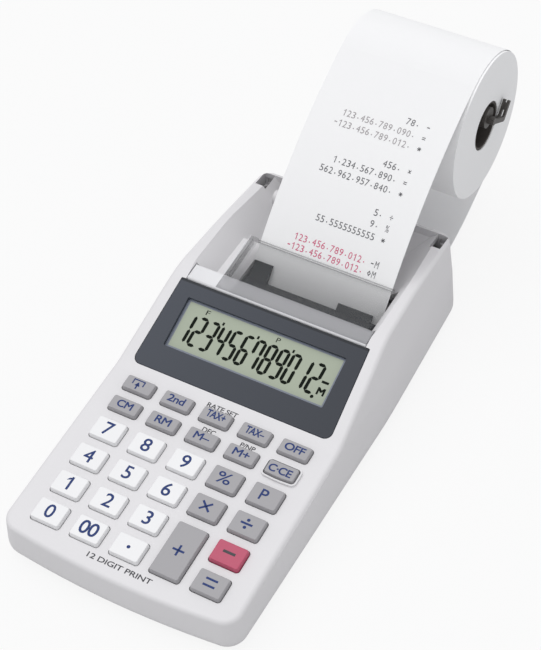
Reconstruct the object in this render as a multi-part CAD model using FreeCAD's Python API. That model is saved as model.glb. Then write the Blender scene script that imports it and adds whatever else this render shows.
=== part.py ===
import FreeCAD, Part
import math
import os
from FreeCAD import Placement, Rotation, Vector

# A hand-held printing calculator, in millimetres.
# X runs to the right, Y to the rear, Z up, and Z is 0 on the surface that the
# feet stand on. Depths are written from the middle of the case. The finished
# pieces are then moved so that the origin is the middle of the whole length.

# Case
case_width = 99.0
case_length = 191.0
case_height = 42.0
foot_height = 1.0
wall = 2.0
deck_thickness = 1.8
floor_thickness = 2.0
parting_z = 8.0
shoulder_drop = 18.0
shoulder_inset = 1.35
rim_inset = 4.3
front_draft = 0.6
rear_draft = 0.5
rear_narrowing = 3.4
front_bow = 3.0
bow_rise = 1.8
front_corner_radius = 8.0
rear_corner_radius = 9.0
taper_start_y = 25.0
taper_radius = 300.0
under_radius = 5.5
edge_radius = 1.8
lip_height = 1.4
lip_thickness = 0.8
fit_gap = 0.1

# Sloping faces of the case
deck_point_y = -60.0
deck_drop = 20.4
deck_slope = 5.2
panel_start_y = -12.0
panel_slope = 20.5
crest_end_y = 60.0
rear_drop = 2.7
panel_blend_radius = 20.0
crest_blend_radius = 30.0
rear_blend_radius = 150.0

# Keys
column_pitch = 16.65
row_fronts = [-22.95, -33.15, -46.55, -59.75, -73.0, -86.05]
key_width = 12.2
key_depth = 9.3
small_key_width = 12.4
small_key_depth = 6.45
key_height = 1.8
key_draft = 0.35
key_corner_radius = 1.1
key_top_radius = 0.35
key_gap = 0.3
key_travel = 1.2
flange_margin = 0.4
flange_thickness = 0.7
flange_gap = 0.15
stem_radius = 1.8
stem_length = 0.3
clear_key_setback = 0.35
clear_key_bulge = 0.5
clear_key_crown = 40.0
guard_height = 0.9
guard_thickness = 0.6

# Rubber sheet and main board under the keys
dome_radius = 3.6
dome_height = 0.8
sheet_thickness = 0.8
board_thickness = 1.2
board_half_width = 37.5
board_front_y = -89.0
board_box_gap = 3.4
sheet_margin = 0.95
chip_height = 1.4

# Display
window_bottom_y = -10.4
window_top_y = 25.6
window_bottom_half = 42.5
window_top_half = 40.6
window_corner_radius = 3.2
window_thickness = 1.4
window_gap = 0.12
view_half_width = 34.2
view_bottom_y = -0.47
view_height = 21.3
view_corner_radius = 0.6
lcd_margin = 1.0
lcd_thickness = 2.2
lcd_frame_wall = 1.6
lcd_frame_back = 1.2
module_gap = 0.15

# Paper
paper_width = 57.4
paper_right_x = 35.2
paper_thickness = 0.2
roll_radius = 30.6
roll_bore_radius = 9.3
roll_right_x = 36.1
core_wall = 1.1
core_recess = 0.4
roll_y = 136.2
roll_rise = 18.9
paper_gap = 0.25
exit_y = 44.8
exit_drop = 11.0
exit_angle = 46.0
bend_radius = 8.6
bend_lead = 1.0
tear_rise = 1.4
web_angle = 25.0
web_sag_radius = 72.0
tape_end_angle = 20.0

# Printer well and paper bay in the upper case
rim_inner_half = 39.6
well_front_y = 27.3
well_rear_y = 57.5
well_left_x = -22.9
well_right_x = 36.9
well_drop = 7.0
bay_front_y = 59.5
rear_wall = 2.9
dish_radius = 25.0
dish_y = 72.0
dish_rise = 8.0
liner = 1.8
pocket_inner_x = 36.6
pocket_outer_x = 41.2
pocket_depth = 8.1
pocket_drop = 9.0
slot_low_drop = 30.1
slot_high_drop = 21.4
slot_margin = 1.4

# Clear printer cover
cover_pivot_y = 27.2
cover_drop = 2.5
cover_slope = 5.1
cover_thickness = 1.2
cover_length = 28.0
cover_left_x = -26.6
cover_right_x = 36.4
cover_flange_half = 38.4
cover_flange_depth = 6.0
cover_wall_drop = 3.6
cover_pin_radius = 0.8
cover_pin_length = 1.5
cover_side_gap = 0.5
tooth_pitch = 1.4
tooth_depth = 0.7

# Printing mechanism
frame_wall = 1.4
frame_left_x = -26.6
frame_right_x = 35.7
frame_front_y = 26.0
frame_rear_y = 68.0
frame_top_drop = 11.0
frame_low_drop = 32.4
frame_rear_drop = 19.5
frame_step_y = 42.5
frame_step_drop = 23.1
guide_front_y = 28.6
guide_front_drop = 6.8
guide_rear_y = 43.8
guide_rear_drop = 9.8
guide_thickness = 1.2
finger_length = 7.5
finger_thickness = 0.9
finger_gap = 0.4
platen_gap = 0.15
wheel_radius = 4.8
wheel_width = 4.6
wheel_standoff = 0.4
wheel_drop = 17.0
type_height = 0.35
type_count = 14
ink_radius = 2.5
ink_width = 5.0
ink_angle = 150.0
rod_radius = 1.25
rod_y = 31.0
rod_drop = 21.4
shaft_radius = 1.2
running_gap = 0.05
carriage_wall = 1.6
carriage_home_x = -15.0
carriage_travel = 42.0
feed_radius = 3.5
feed_shaft_radius = 1.0
feed_band_width = 9.0
pinch_radius = 2.5

# Gear train at the left of the printer
gear_module = 0.4
pinion_teeth = 10
reduction_teeth = 40
reduction_small_teeth = 12
drive_teeth = 36
feed_teeth = 24
gear_face = 1.2
outer_gear_x = -30.4
inner_gear_x = -28.8
reduction_angle = -20.0
motor_radius = 6.0
motor_side_gap = 2.95
tooth_share = 0.40

# Roll holder
arm_left_x = -30.6
arm_width = 5.0
arm_height = 6.0
arm_rib = 1.4
arm_web = 1.4
arm_pivot_y = 85.0
arm_pivot_drop = 6.0
barrel_radius = 3.0
trunnion_radius = 1.5
trunnion_length = 1.0
lug_thickness = 1.6
lug_sink = 3.5
lug_gap = 0.2
spindle_radius = 4.4
spindle_gap = 0.35
spindle_overhang = 0.9
clip_rib = 1.0
clip_gap = 0.8
clip_thickness = 1.9
clip_reach = 10.0
clip_drop = 7.4
clip_rise = 5.7
clip_lean = 5.3
notch_gap = 0.3

# Power
frame_box_gap = 0.55
cell_length = 49.2
cell_nub_radius = 2.75
cell_nub_length = 1.3
cell_gap = 0.3
cell_count = 4
box_right_x = 34.6
box_back_y = 40.6
contact_room = 1.35
box_wall = 1.2
box_roof = 1.0
door_thickness = 1.4
door_gap = 0.2
door_margin = 2.2
door_slide = 5.0
thumb_half = 9.0
contact_thickness = 0.4
jack_side_distance = 15.5
jack_z = 15.0
jack_width = 9.0
jack_height = 9.0
jack_depth = 12.0
jack_bore_radius = 2.8
jack_bore_depth = 9.0
jack_pin_radius = 1.0

# Fixings
foot_radius = 4.5
foot_recess = 0.6
foot_x = 37.0
foot_front_y = -80.0
foot_rear_y = 78.0
front_post_x = 24.98
front_post_y = -73.6
front_post_radius = 1.7
post_gap = 1.0
rear_post_x = 40.8
rear_post_y = 68.0
rear_post_radius = 2.2
screw_radius = 0.9
screw_pilot_gap = 0.1
screw_head_radius = 2.1
screw_head_height = 1.5
screw_bite = 6.0
screw_well_depth = 3.0

# Values worked out from the driving sizes
half_width = case_width / 2
half_length = case_length / 2
paper_left_x = paper_right_x - paper_width
bottom_z = foot_height
floor_top_z = bottom_z + floor_thickness
shoulder_z = case_height - shoulder_drop
deck_point_z = case_height - deck_drop
rear_top_z = case_height - rear_drop
roll_z = case_height + roll_rise
exit_z = case_height - exit_drop
tear_point_z = case_height + tear_rise
well_floor_z = case_height - well_drop
dish_z = case_height + dish_rise
pocket_floor_z = case_height - pocket_drop
slot_low_z = case_height - slot_low_drop
slot_high_z = case_height - slot_high_drop
cover_pivot_z = case_height - cover_drop
frame_top_z = case_height - frame_top_drop
frame_low_z = case_height - frame_low_drop
frame_rear_z = case_height - frame_rear_drop
frame_step_z = case_height - frame_step_drop
guide_front_z = case_height - guide_front_drop
guide_rear_z = case_height - guide_rear_drop
wheel_z = case_height - wheel_drop
rod_z = case_height - rod_drop
arm_pivot_z = case_height - arm_pivot_drop
bay_rear_y = half_length - rear_wall
pocket_front_y = bay_rear_y - pocket_depth
jack_x = jack_side_distance - half_width
motor_length = half_width - wall - shoulder_inset - motor_side_gap + outer_gear_x - 0.8
cell_radius = (frame_step_z - frame_box_gap - box_roof - 1.5 * cell_gap - bottom_z - door_thickness) / 2
box_depth = cell_length + cell_nub_length + 2 * contact_room
box_front_y = box_back_y - box_depth
board_rear_y = box_front_y - board_box_gap
sheet_rear_y = row_fronts[0] + small_key_depth + sheet_margin
exit_direction = (math.cos(math.radians(exit_angle)), math.sin(math.radians(exit_angle)))
bend_y = exit_y - bend_lead * exit_direction[0] + bend_radius * exit_direction[1]
bend_z = exit_z - bend_lead * exit_direction[1] - bend_radius * exit_direction[0]
path_z = bend_z - bend_radius
wheel_y = bend_y - bend_radius - paper_thickness / 2 - wheel_standoff - wheel_radius
cover_place = Placement(Vector(0, cover_pivot_y, cover_pivot_z), Rotation(Vector(1, 0, 0), cover_slope))
deck_place = Placement(Vector(0, deck_point_y, deck_point_z), Rotation(Vector(1, 0, 0), deck_slope))
deck_cos = math.cos(math.radians(deck_slope))
panel_cos = math.cos(math.radians(panel_slope))
panel_tan = math.tan(math.radians(panel_slope))


def deck_height(y):
    return deck_point_z + math.tan(math.radians(deck_slope)) * (y - deck_point_y)


def panel_height(y):
    return deck_height(panel_start_y) + panel_tan * (y - panel_start_y)


def deck_v(y):
    """Distance along the deck from its reference point to depth y."""
    return (y - deck_point_y) / deck_cos


panel_place = Placement(
    Vector(0, window_bottom_y, panel_height(window_bottom_y)), Rotation(Vector(1, 0, 0), panel_slope)
)


def panel_v(y):
    """Distance along the panel slope from the window's lower edge to depth y."""
    return (y - window_bottom_y) / panel_cos


# Basic shapes
def box(x0, x1, y0, y1, z0, z1):
    return Part.makeBox(x1 - x0, y1 - y0, z1 - z0, Vector(x0, y0, z0))


def rod_x(x0, x1, y, z, radius):
    return Part.makeCylinder(radius, x1 - x0, Vector(x0, y, z), Vector(1, 0, 0))


def rod_y_axis(x, y0, y1, z, radius):
    return Part.makeCylinder(radius, y1 - y0, Vector(x, y0, z), Vector(0, 1, 0))


def rod_up(x, y, z0, z1, radius):
    return Part.makeCylinder(radius, z1 - z0, Vector(x, y, z0), Vector(0, 0, 1))


def fuse(shapes):
    if len(shapes) == 1:
        return shapes[0]
    return shapes[0].fuse(shapes[1:]).removeSplitter()


def cut(shape, tools):
    return shape.cut(tools).removeSplitter()


def flat_xy(z):
    return lambda a, b: Vector(a, b, z)


def side_yz(x):
    return lambda a, b: Vector(x, a, b)


def front_xz(y):
    return lambda a, b: Vector(a, y, b)


def rounded_wire(corners, to_space):
    """A closed wire through corners (a, b, radius), each rounded by its radius."""
    edges = []
    ends = []
    count = len(corners)
    for i in range(count):
        a, b, radius = corners[i]
        here = Vector(a, b, 0)
        before = Vector(corners[i - 1][0], corners[i - 1][1], 0) - here
        after = Vector(corners[(i + 1) % count][0], corners[(i + 1) % count][1], 0) - here
        before.normalize()
        after.normalize()
        if radius <= 0:
            ends.append((here, here, None))
            continue
        half = before.getAngle(after) / 2
        reach = radius / math.tan(half)
        middle = before + after
        middle.normalize()
        apex = here + middle * (radius / math.sin(half) - radius)
        ends.append((here + before * reach, here + after * reach, apex))
    for i in range(count):
        start, end, apex = ends[i]
        nxt = ends[(i + 1) % count][0]
        if apex is not None:
            edges.append(
                Part.Arc(
                    to_space(start.x, start.y), to_space(apex.x, apex.y), to_space(end.x, end.y)
                ).toShape()
            )
        if (nxt - end).Length > 1e-6:
            edges.append(Part.LineSegment(to_space(end.x, end.y), to_space(nxt.x, nxt.y)).toShape())
    return Part.Wire(edges)


def prism(corners, to_space, direction):
    """A rounded outline pushed along a direction vector."""
    return Part.Face(rounded_wire(corners, to_space)).extrude(direction)


def slab(x0, x1, y0, y1, z0, z1, radius):
    """A plate with rounded corners in plan."""
    corners = [(x0, y0, radius), (x1, y0, radius), (x1, y1, radius), (x0, y1, radius)]
    return prism(corners, flat_xy(z0), Vector(0, 0, z1 - z0))


def placed(shape, placement):
    moved = shape.copy()
    moved.Placement = placement.multiply(moved.Placement)
    return moved


# Case outlines
def plan_corners(side, front, rear):
    """The case outline seen from above, drawn in by side, front and rear."""
    half = half_width - side
    nose = -half_length + front
    angle = math.atan((front_bow + bow_rise) / half)
    bow_radius = bow_rise / (1 / math.cos(angle) - 1)
    back = half_length - rear
    rear_half = half - rear_narrowing
    front_radius = max(front_corner_radius - side, 1.0)
    rear_radius = max(rear_corner_radius - side, 1.0)
    return [
        (0, nose - bow_rise, bow_radius),
        (half, nose + front_bow, front_radius),
        (half, taper_start_y, taper_radius),
        (rear_half, back, rear_radius),
        (-rear_half, back, rear_radius),
        (-half, taper_start_y, taper_radius),
        (-half, nose + front_bow, front_radius),
    ]


def top_profile(drop):
    """The side view of everything below the top surface lowered by drop."""
    beyond = 6.0
    slope_top_y = panel_start_y + (case_height - deck_height(panel_start_y)) / panel_tan
    fall = (case_height - rear_top_z) / (half_length - crest_end_y)
    low = bottom_z - beyond
    front = -half_length - beyond
    back = half_length + beyond
    corners = [
        (front, low, 0),
        (back, low, 0),
        (back, rear_top_z - fall * beyond - drop, 0),
        (crest_end_y, case_height - drop, rear_blend_radius),
        (slope_top_y, case_height - drop, crest_blend_radius),
        (panel_start_y, deck_height(panel_start_y) - drop, panel_blend_radius),
        (front, deck_height(front) - drop, 0),
    ]
    reach = half_width + beyond
    return prism(corners, side_yz(-reach), Vector(2 * reach, 0, 0))


def case_block(inset, drop, base):
    """The upper part of the case: steep lower sides and, above the shoulder, more sloping ones."""
    above = 4.0
    side_slope = (rim_inset - shoulder_inset) / (case_height - shoulder_z)
    sides = [
        (base, 0.0), (shoulder_z, shoulder_inset), (case_height + above, rim_inset + side_slope * above)
    ]
    wires = []
    for z, side in sides:
        rise = (z - base) / (shoulder_z - base)
        corners = plan_corners(side + inset, front_draft * rise + inset, rear_draft * rise + inset)
        wires.append(rounded_wire(corners, flat_xy(z)))
    block = Part.makeLoft(wires, True, True)
    return block.common(top_profile(drop)).removeSplitter()


def top_level(y):
    """The height of the top surface at depth y, without its blends."""
    if y > crest_end_y:
        return case_height - (y - crest_end_y) * (case_height - rear_top_z) / (half_length - crest_end_y)
    if y > panel_start_y:
        return min(panel_height(y), case_height)
    return deck_height(y)


def rim_edges(shape):
    """The edges that run round the top of the case."""
    found = []
    for edge in shape.Edges:
        middle = edge.valueAt((edge.FirstParameter + edge.LastParameter) / 2)
        if abs(middle.z - top_level(middle.y)) > 1.2:
            continue
        if edge.BoundBox.ZLength > case_height / 2:
            continue
        crosswise = abs(middle.x) < 1.0 and abs(middle.y) < half_length - 8
        if not crosswise:
            found.append(edge)
    return found


# Keys
def column_x(column):
    return (column - 2) * column_pitch


def key_table():
    """Each key: its node name, column, row, kind."""
    keys = []
    top_rows = [
        ["key_feed", "key_second", "key_tax_plus", "key_tax_minus", "key_off"],
        ["key_memory_clear", "key_memory_recall", "key_memory_minus", "key_memory_plus", "key_clear"],
    ]
    for row, names in enumerate(top_rows):
        for column, name in enumerate(names):
            keys.append((name, column, row, "clear" if name == "key_clear" else "small"))
    grid = [
        ["key_7", "key_8", "key_9", "key_percent", "key_print"],
        ["key_4", "key_5", "key_6", "key_multiply", "key_divide"],
        ["key_1", "key_2", "key_3", None, "key_minus"],
        ["key_0", "key_double_zero", "key_point", "key_plus", "key_equals"],
    ]
    for step, names in enumerate(grid):
        for column, name in enumerate(names):
            if name:
                keys.append((name, column, step + 2, "tall" if name == "key_plus" else "big"))
    return keys


def key_frame(column, row, kind):
    """The key's centre, half width and half depth on the deck."""
    width = small_key_width if kind in ("small", "clear") else key_width
    depth = small_key_depth if kind in ("small", "clear") else key_depth
    front = deck_v(row_fronts[row])
    rear = front + depth
    if kind == "tall":
        rear = deck_v(row_fronts[row - 1]) + key_depth
    return column_x(column), (front + rear) / 2, width / 2, (rear - front) / 2


def key_outline(column, row, kind, grow, z):
    """A key's outline on the deck, larger by grow."""
    x, v, half_w, half_d = key_frame(column, row, kind)
    half_w += grow
    half_d += grow
    radius = max(key_corner_radius + grow, 0.3)
    if kind != "clear":
        corners = [(x - half_w, v - half_d, radius), (x + half_w, v - half_d, radius)]
        corners += [(x + half_w, v + half_d, radius), (x - half_w, v + half_d, radius)]
        return rounded_wire(corners, flat_xy(z))
    front = v - half_d + clear_key_setback
    corners = [(x - half_w, front, radius), (x, front - clear_key_bulge, clear_key_crown)]
    corners += [(x + half_w, front, radius)]
    corners += [(x + half_w, v + half_d, radius), (x - half_w, v + half_d, radius)]
    return rounded_wire(corners, flat_xy(z))


def key_column_of(column, row, kind, grow, z0, z1):
    face = Part.Face(key_outline(column, row, kind, grow, z0))
    return face.extrude(Vector(0, 0, z1 - z0))


def make_key(column, row, kind):
    """A key cap with its flange and stem, in the deck's own frame, then set on the deck."""
    flange_top = -deck_thickness - flange_gap
    base = key_column_of(column, row, kind, 0, flange_top, 0)
    cap = Part.makeLoft(
        [
            key_outline(column, row, kind, 0, 0), key_outline(column, row, kind, -key_draft, key_height)
        ], True, True
    )
    top = [e for e in cap.Edges if e.BoundBox.ZMin > key_height - 0.01]
    cap = cap.makeFillet(key_top_radius, top)
    flange = key_column_of(column, row, kind, flange_margin, flange_top - flange_thickness, flange_top)
    x, v, half_w, half_d = key_frame(column, row, kind)
    low = flange_top - flange_thickness
    shapes = [base, cap, flange]
    for offset in stem_offsets(kind):
        shapes.append(rod_up(x, v + offset, low - stem_length, low, stem_radius))
    return placed(fuse(shapes), deck_place)


def stem_offsets(kind):
    return (-key_depth * 0.6, key_depth * 0.6) if kind == "tall" else (0.0,)


# Upper case
def well_side_prism():
    """The space between the two rims, with sides that slope in at 45 degrees."""
    top = case_height + 6.0
    rim = case_height
    deep = dish_z - dish_radius - 2.0
    deep_foot = rim_inner_half - (rim - deep)
    sloped = [
        (-rim_inner_half, rim, 0.8), (-deep_foot, deep, 0), (deep_foot, deep, 0),
        (rim_inner_half, rim, 0.8)
    ]
    outline = [(-rim_inner_half, top, 0)] + sloped + [(rim_inner_half, top, 0)]
    return prism(outline, front_xz(well_front_y), Vector(0, bay_rear_y - well_front_y, 0))


def printer_cavity(grow):
    """The well over the printer, from its floor up; grow thickens its skin below."""
    rear = well_rear_y + 2.0
    block = box(-half_width, half_width, well_front_y, rear, well_floor_z - grow, case_height + 6)
    return block if grow else block.common(well_side_prism())


def bay_cavity(grow):
    """The dished paper bay behind the printer; grow thickens its skin."""
    top = case_height + 6.0
    radius = dish_radius + grow
    dish = rod_x(-half_width, half_width, dish_y, dish_z, radius)
    above = box(-half_width, half_width, bay_front_y, bay_rear_y, dish_z - radius * 0.2, top)
    shape = dish.fuse(above).common(box(-half_width, half_width, bay_front_y, bay_rear_y, 0, top))
    return shape if grow else shape.common(well_side_prism())


def slope_liner():
    """The thick skin under the sloping sides of the well and bay."""
    top = case_height + 6.0
    rim = case_height
    deep = dish_z - dish_radius - 2.0
    reach = liner * math.sqrt(2)
    wide = rim_inner_half + reach
    deep_foot = wide - (rim - deep)
    outline = [
        (-wide, top, 0), (-wide, rim, 0), (-deep_foot, deep, 0), (deep_foot, deep, 0), (wide, rim, 0),
        (wide, top, 0)
    ]
    return prism(
        outline, front_xz(well_front_y - liner), Vector(0, bay_rear_y + wall - well_front_y + liner, 0)
    )


def paper_slot():
    return box(
        paper_left_x - slot_margin, paper_right_x + slot_margin, bay_rear_y, half_length + 1,
        slot_low_z, slot_high_z
    )


def make_upper_case():
    outer = case_block(0, 0, parting_z)
    outer = outer.makeFillet(edge_radius, rim_edges(outer))
    inner = case_block(wall, deck_thickness, parting_z - 1)
    well = printer_cavity(0)
    bay = bay_cavity(0)
    lined = bay_cavity(liner).fuse(printer_cavity(liner)).common(slope_liner())
    inner = inner.cut(lined)
    shell = outer.cut(inner)
    through = box(well_left_x, well_right_x, well_front_y + 1.2, well_rear_y, 20, case_height + 6)
    flange_bed = box(
        -cover_flange_half - cover_side_gap,
        cover_flange_half + cover_side_gap,
        cover_pivot_y - cover_thickness - 0.3,
        cover_pivot_y + cover_flange_depth + 0.9,
        cover_pivot_z - 2.4,
        case_height + 6,
    )
    tools = [well, bay, through, flange_bed, paper_slot()]
    ring = rounded_wire(
        plan_corners(wall - lip_thickness, wall - lip_thickness, wall - lip_thickness),
        flat_xy(parting_z - 1)
    )
    tools.append(Part.Face(ring).extrude(Vector(0, 0, 1 + lip_height + fit_gap)))
    for name, column, row, kind in key_table():
        hole = key_column_of(column, row, kind, key_gap, -deck_thickness - 3, 3)
        tools.append(placed(hole, deck_place))
    tools.append(placed(window_plate(window_gap, 3.0, window_thickness + window_gap), panel_place))
    tools.append(placed(module_opening(), panel_place))
    for side in (-1, 1):
        x0, x1 = sorted((side * pocket_inner_x, side * pocket_outer_x))
        tools.append(box(x0, x1, pocket_front_y, bay_rear_y, pocket_floor_z, case_height + 6))
        tools.append(
            box(x0 + 1, x1 - 1, bay_rear_y, bay_rear_y + 1.0, pocket_floor_z + 1, pocket_floor_z + 4)
        )
        pin_end = cover_flange_half + cover_pin_length + 0.4
        x0, x1 = sorted((side * (cover_flange_half - 1), side * pin_end))
        tools.append(rod_x(x0, x1, cover_pivot_y, cover_pivot_z, cover_pin_radius + running_gap))
    tools.append(arm_notch())
    tools.append(rod_y_axis(jack_x, half_length - 6, half_length + 2, jack_z, jack_bore_radius + 1.0))
    shell = shell.cut(tools)
    shell = fuse(
        [shell, placed(clear_key_guard(), deck_place)] + case_posts() + arm_lugs() + jack_clips()
    )
    pilots = []
    for x, y, radius, top in post_places():
        pilots.append(
            rod_up(x, y, parting_z - 2, parting_z + screw_bite + 1.5, screw_radius + screw_pilot_gap)
        )
    return cut(shell, pilots)


def post_places():
    """Screw posts: x, y, radius, and the height they reach inside the upper case."""
    front_top = deck_height(front_post_y) - deck_thickness / 2
    return [
        (-front_post_x, front_post_y, front_post_radius, front_top),
        (front_post_x, front_post_y, front_post_radius, front_top),
        (-rear_post_x, rear_post_y, rear_post_radius, case_height - 3.4),
        (rear_post_x, rear_post_y, rear_post_radius, case_height - 3.4),
    ]


def case_posts():
    return [rod_up(x, y, parting_z + fit_gap, top, radius) for x, y, radius, top in post_places()]


def clear_key_guard():
    """The low collar round the clear key."""
    name, column, row, kind = [k for k in key_table() if k[3] == "clear"][0]
    outer = key_column_of(column, row, kind, key_gap + guard_thickness, -0.4, guard_height)
    hole = key_column_of(column, row, kind, key_gap, -1, guard_height + 1)
    return outer.cut(hole)


# Display
def window_plate(grow, above, below):
    """The tapering window plate in the panel's own frame."""
    low = -grow
    high = panel_v(window_top_y) + grow
    corners = [
        (-window_bottom_half - grow, low, window_corner_radius),
        (window_bottom_half + grow, low, window_corner_radius),
        (window_top_half + grow, high, 0.6),
        (-window_top_half - grow, high, 0.6),
    ]
    return prism(corners, flat_xy(-below), Vector(0, 0, below + above))


def view_slab(grow, low, high):
    """A block over the visible part of the display, larger by grow."""
    v0 = panel_v(view_bottom_y)
    return slab(
        -view_half_width - grow,
        view_half_width + grow,
        v0 - grow,
        v0 + view_height + grow,
        low,
        high,
        view_corner_radius,
    )


def module_depth():
    return window_thickness + window_gap + module_gap


def module_opening():
    grow = lcd_margin + lcd_frame_wall + module_gap
    return view_slab(grow, -deck_thickness - 6, 0)


def make_display_window():
    plate = window_plate(0, 0, window_thickness)
    rim = [e for e in plate.Edges if abs(e.BoundBox.ZMin) < 0.001 and abs(e.BoundBox.ZMax) < 0.001]
    plate = plate.makeChamfer(0.25, rim)
    opening = view_slab(0, -window_thickness - 1, 1)
    return placed(cut(plate, [opening]), panel_place)


def make_lcd_glass():
    top = -module_depth()
    glass = view_slab(lcd_margin, top - lcd_thickness, top)
    return placed(glass, panel_place)


def make_lcd_frame():
    """The tray that holds the glass, with its two fixing ears."""
    top = -module_depth()
    bottom = top - lcd_thickness - module_gap - lcd_frame_back
    tray = view_slab(lcd_margin + lcd_frame_wall, bottom, top)
    hollow = view_slab(lcd_margin + module_gap, top - lcd_thickness - module_gap, top + 1)
    window = view_slab(-3.0, bottom - 1, top)
    return placed(cut(tray, [hollow, window]), panel_place)


# Rubber sheet and board
def make_rubber_keypad():
    """The rubber sheet with a dome under each key stem."""
    top = -deck_thickness - flange_gap - flange_thickness - stem_length - key_travel - 0.1 - dome_height
    front = deck_v(board_front_y)
    sheet = box(
        -board_half_width, board_half_width, front, deck_v(sheet_rear_y), top - sheet_thickness, top
    )
    domes = []
    for name, column, row, kind in key_table():
        x, v, half_w, half_d = key_frame(column, row, kind)
        radius = min(dome_radius, half_d - 0.2)
        for offset in stem_offsets(kind):
            domes.append(Part.makeCone(radius, radius * 0.6, dome_height, Vector(x, v + offset, top)))
    holes = [
        rod_up(x, deck_v(front_post_y), top - 5, top + 5, front_post_radius + post_gap)
        for x in (-front_post_x, front_post_x)
    ]
    return placed(cut(fuse([sheet] + domes), holes), deck_place)


def board_top():
    dome_top = -deck_thickness - flange_gap - flange_thickness - stem_length - key_travel - 0.1
    return dome_top - dome_height - sheet_thickness


def make_main_board():
    """The circuit board with its chips and capacitors on the underside."""
    top = board_top() - 0.05
    low = top - board_thickness
    front = deck_v(board_front_y)
    rear = deck_v(board_rear_y)
    board = box(-board_half_width, board_half_width, front, rear, low, top)
    parts = [board]
    chips = [
        (-12, rear - 22, 14, 14), (14, rear - 18, 9, 7), (-30, rear - 16, 5, 9), (24, rear - 36, 7, 5)
    ]
    for x, v, width, depth in chips:
        parts.append(box(x, x + width, v, v + depth, low - chip_height, low))
    for x in (-28, -20, 30):
        parts.append(rod_up(x, rear - 28, low - 2.6, low, 2.0))
    holes = [
        rod_up(x, deck_v(front_post_y), low - 5, top + 5, front_post_radius + post_gap)
        for x in (-front_post_x, front_post_x)
    ]
    return placed(cut(fuse(parts), holes), deck_place)


# Lower case
def make_lower_case():
    outline = plan_corners(0, 0, 0)
    outer = prism(outline, flat_xy(bottom_z), Vector(0, 0, parting_z - bottom_z))
    low = [e for e in outer.Edges if e.BoundBox.ZMax < bottom_z + 0.01]
    outer = outer.makeFillet(under_radius, low)
    inner_outline = plan_corners(wall, wall, wall)
    inner = prism(inner_outline, flat_xy(floor_top_z), Vector(0, 0, parting_z + 5 - floor_top_z))
    low = [e for e in inner.Edges if e.BoundBox.ZMax < floor_top_z + 0.01]
    inner = inner.makeFillet(under_radius - wall, low)
    lip_out = plan_corners(
        wall - lip_thickness + fit_gap, wall - lip_thickness + fit_gap, wall - lip_thickness + fit_gap
    )
    lip = prism(lip_out, flat_xy(parting_z - 1), Vector(0, 0, 1 + lip_height))
    shell = outer.fuse(lip).cut(inner)
    solids = [shell, battery_box_solid()]
    for x, y, radius, top in post_places():
        solids.append(rod_up(x, y, bottom_z + 0.4, parting_z, screw_head_radius + 1.2))
    shell = fuse(solids)
    tools = [battery_box_hollow(), door_recess()]
    for x, y, radius, top in post_places():
        tools.append(rod_up(x, y, bottom_z - 1, parting_z + 1, screw_radius + 0.2))
        tools.append(rod_up(x, y, bottom_z - 1, bottom_z + screw_well_depth, screw_head_radius + 0.25))
    for x, y in foot_places():
        tools.append(rod_up(x, y, bottom_z - 1, bottom_z + foot_recess, foot_radius + 0.1))
    return cut(shell, tools)


def foot_places():
    return [(x, y) for y in (foot_front_y, foot_rear_y) for x in (-foot_x, foot_x)]


def cell_pitch():
    return 2 * cell_radius + cell_gap


def box_left_x():
    return box_right_x - cell_count * cell_pitch() - cell_gap


def door_top_z():
    return bottom_z + door_thickness


def cell_z():
    return door_top_z() + cell_gap / 2 + cell_radius


def box_top_z():
    return cell_z() + cell_radius + cell_gap


def battery_box_solid():
    return box(
        box_left_x() - box_wall,
        box_right_x + box_wall,
        box_front_y - box_wall,
        box_back_y + box_wall,
        bottom_z + 0.4,
        box_top_z() + box_roof,
    )


def battery_box_hollow():
    return box(box_left_x(), box_right_x, box_front_y, box_back_y, bottom_z - 1, box_top_z())


def door_outline(grow, rear_extra, low, high):
    return slab(
        box_left_x() - door_margin - grow,
        box_right_x + door_margin + grow,
        box_front_y - door_margin - grow,
        box_back_y + door_margin + grow + rear_extra,
        low,
        high,
        2.0,
    )


def door_recess():
    """The shallow bed that the battery cover slides in."""
    return door_outline(door_gap, door_slide, bottom_z - 1, door_top_z() + 0.05)


def make_battery_cover():
    """The sliding battery cover with its thumb ribs."""
    plate = door_outline(0, 0, bottom_z, door_top_z())
    ribs = []
    x = (box_left_x() + box_right_x) / 2
    for step in range(4):
        y = box_front_y + 4 + 2.2 * step
        ribs.append(
            box(x - thumb_half + step, x + thumb_half - step, y, y + 0.9, bottom_z - 1, bottom_z + 0.45)
        )
    return cut(plate, ribs)


def make_batteries():
    """Four cells side by side, turned end for end in pairs."""
    solids = []
    start = box_front_y + (box_depth - cell_length - cell_nub_length) / 2
    for index in range(cell_count):
        x = box_left_x() + cell_gap + cell_radius + index * cell_pitch()
        y0 = start if index % 2 == 0 else start + cell_nub_length
        body = rod_y_axis(x, y0, y0 + cell_length, cell_z(), cell_radius)
        body = body.makeFillet(0.6, [e for e in body.Edges if e.Curve.TypeId == "Part::GeomCircle"])
        nub_y = y0 + cell_length if index % 2 == 0 else y0 - cell_nub_length
        nub = rod_y_axis(x, nub_y, nub_y + cell_nub_length, cell_z(), cell_nub_radius)
        solids.append(fuse([body, nub]))
    return Part.makeCompound(solids)


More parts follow.
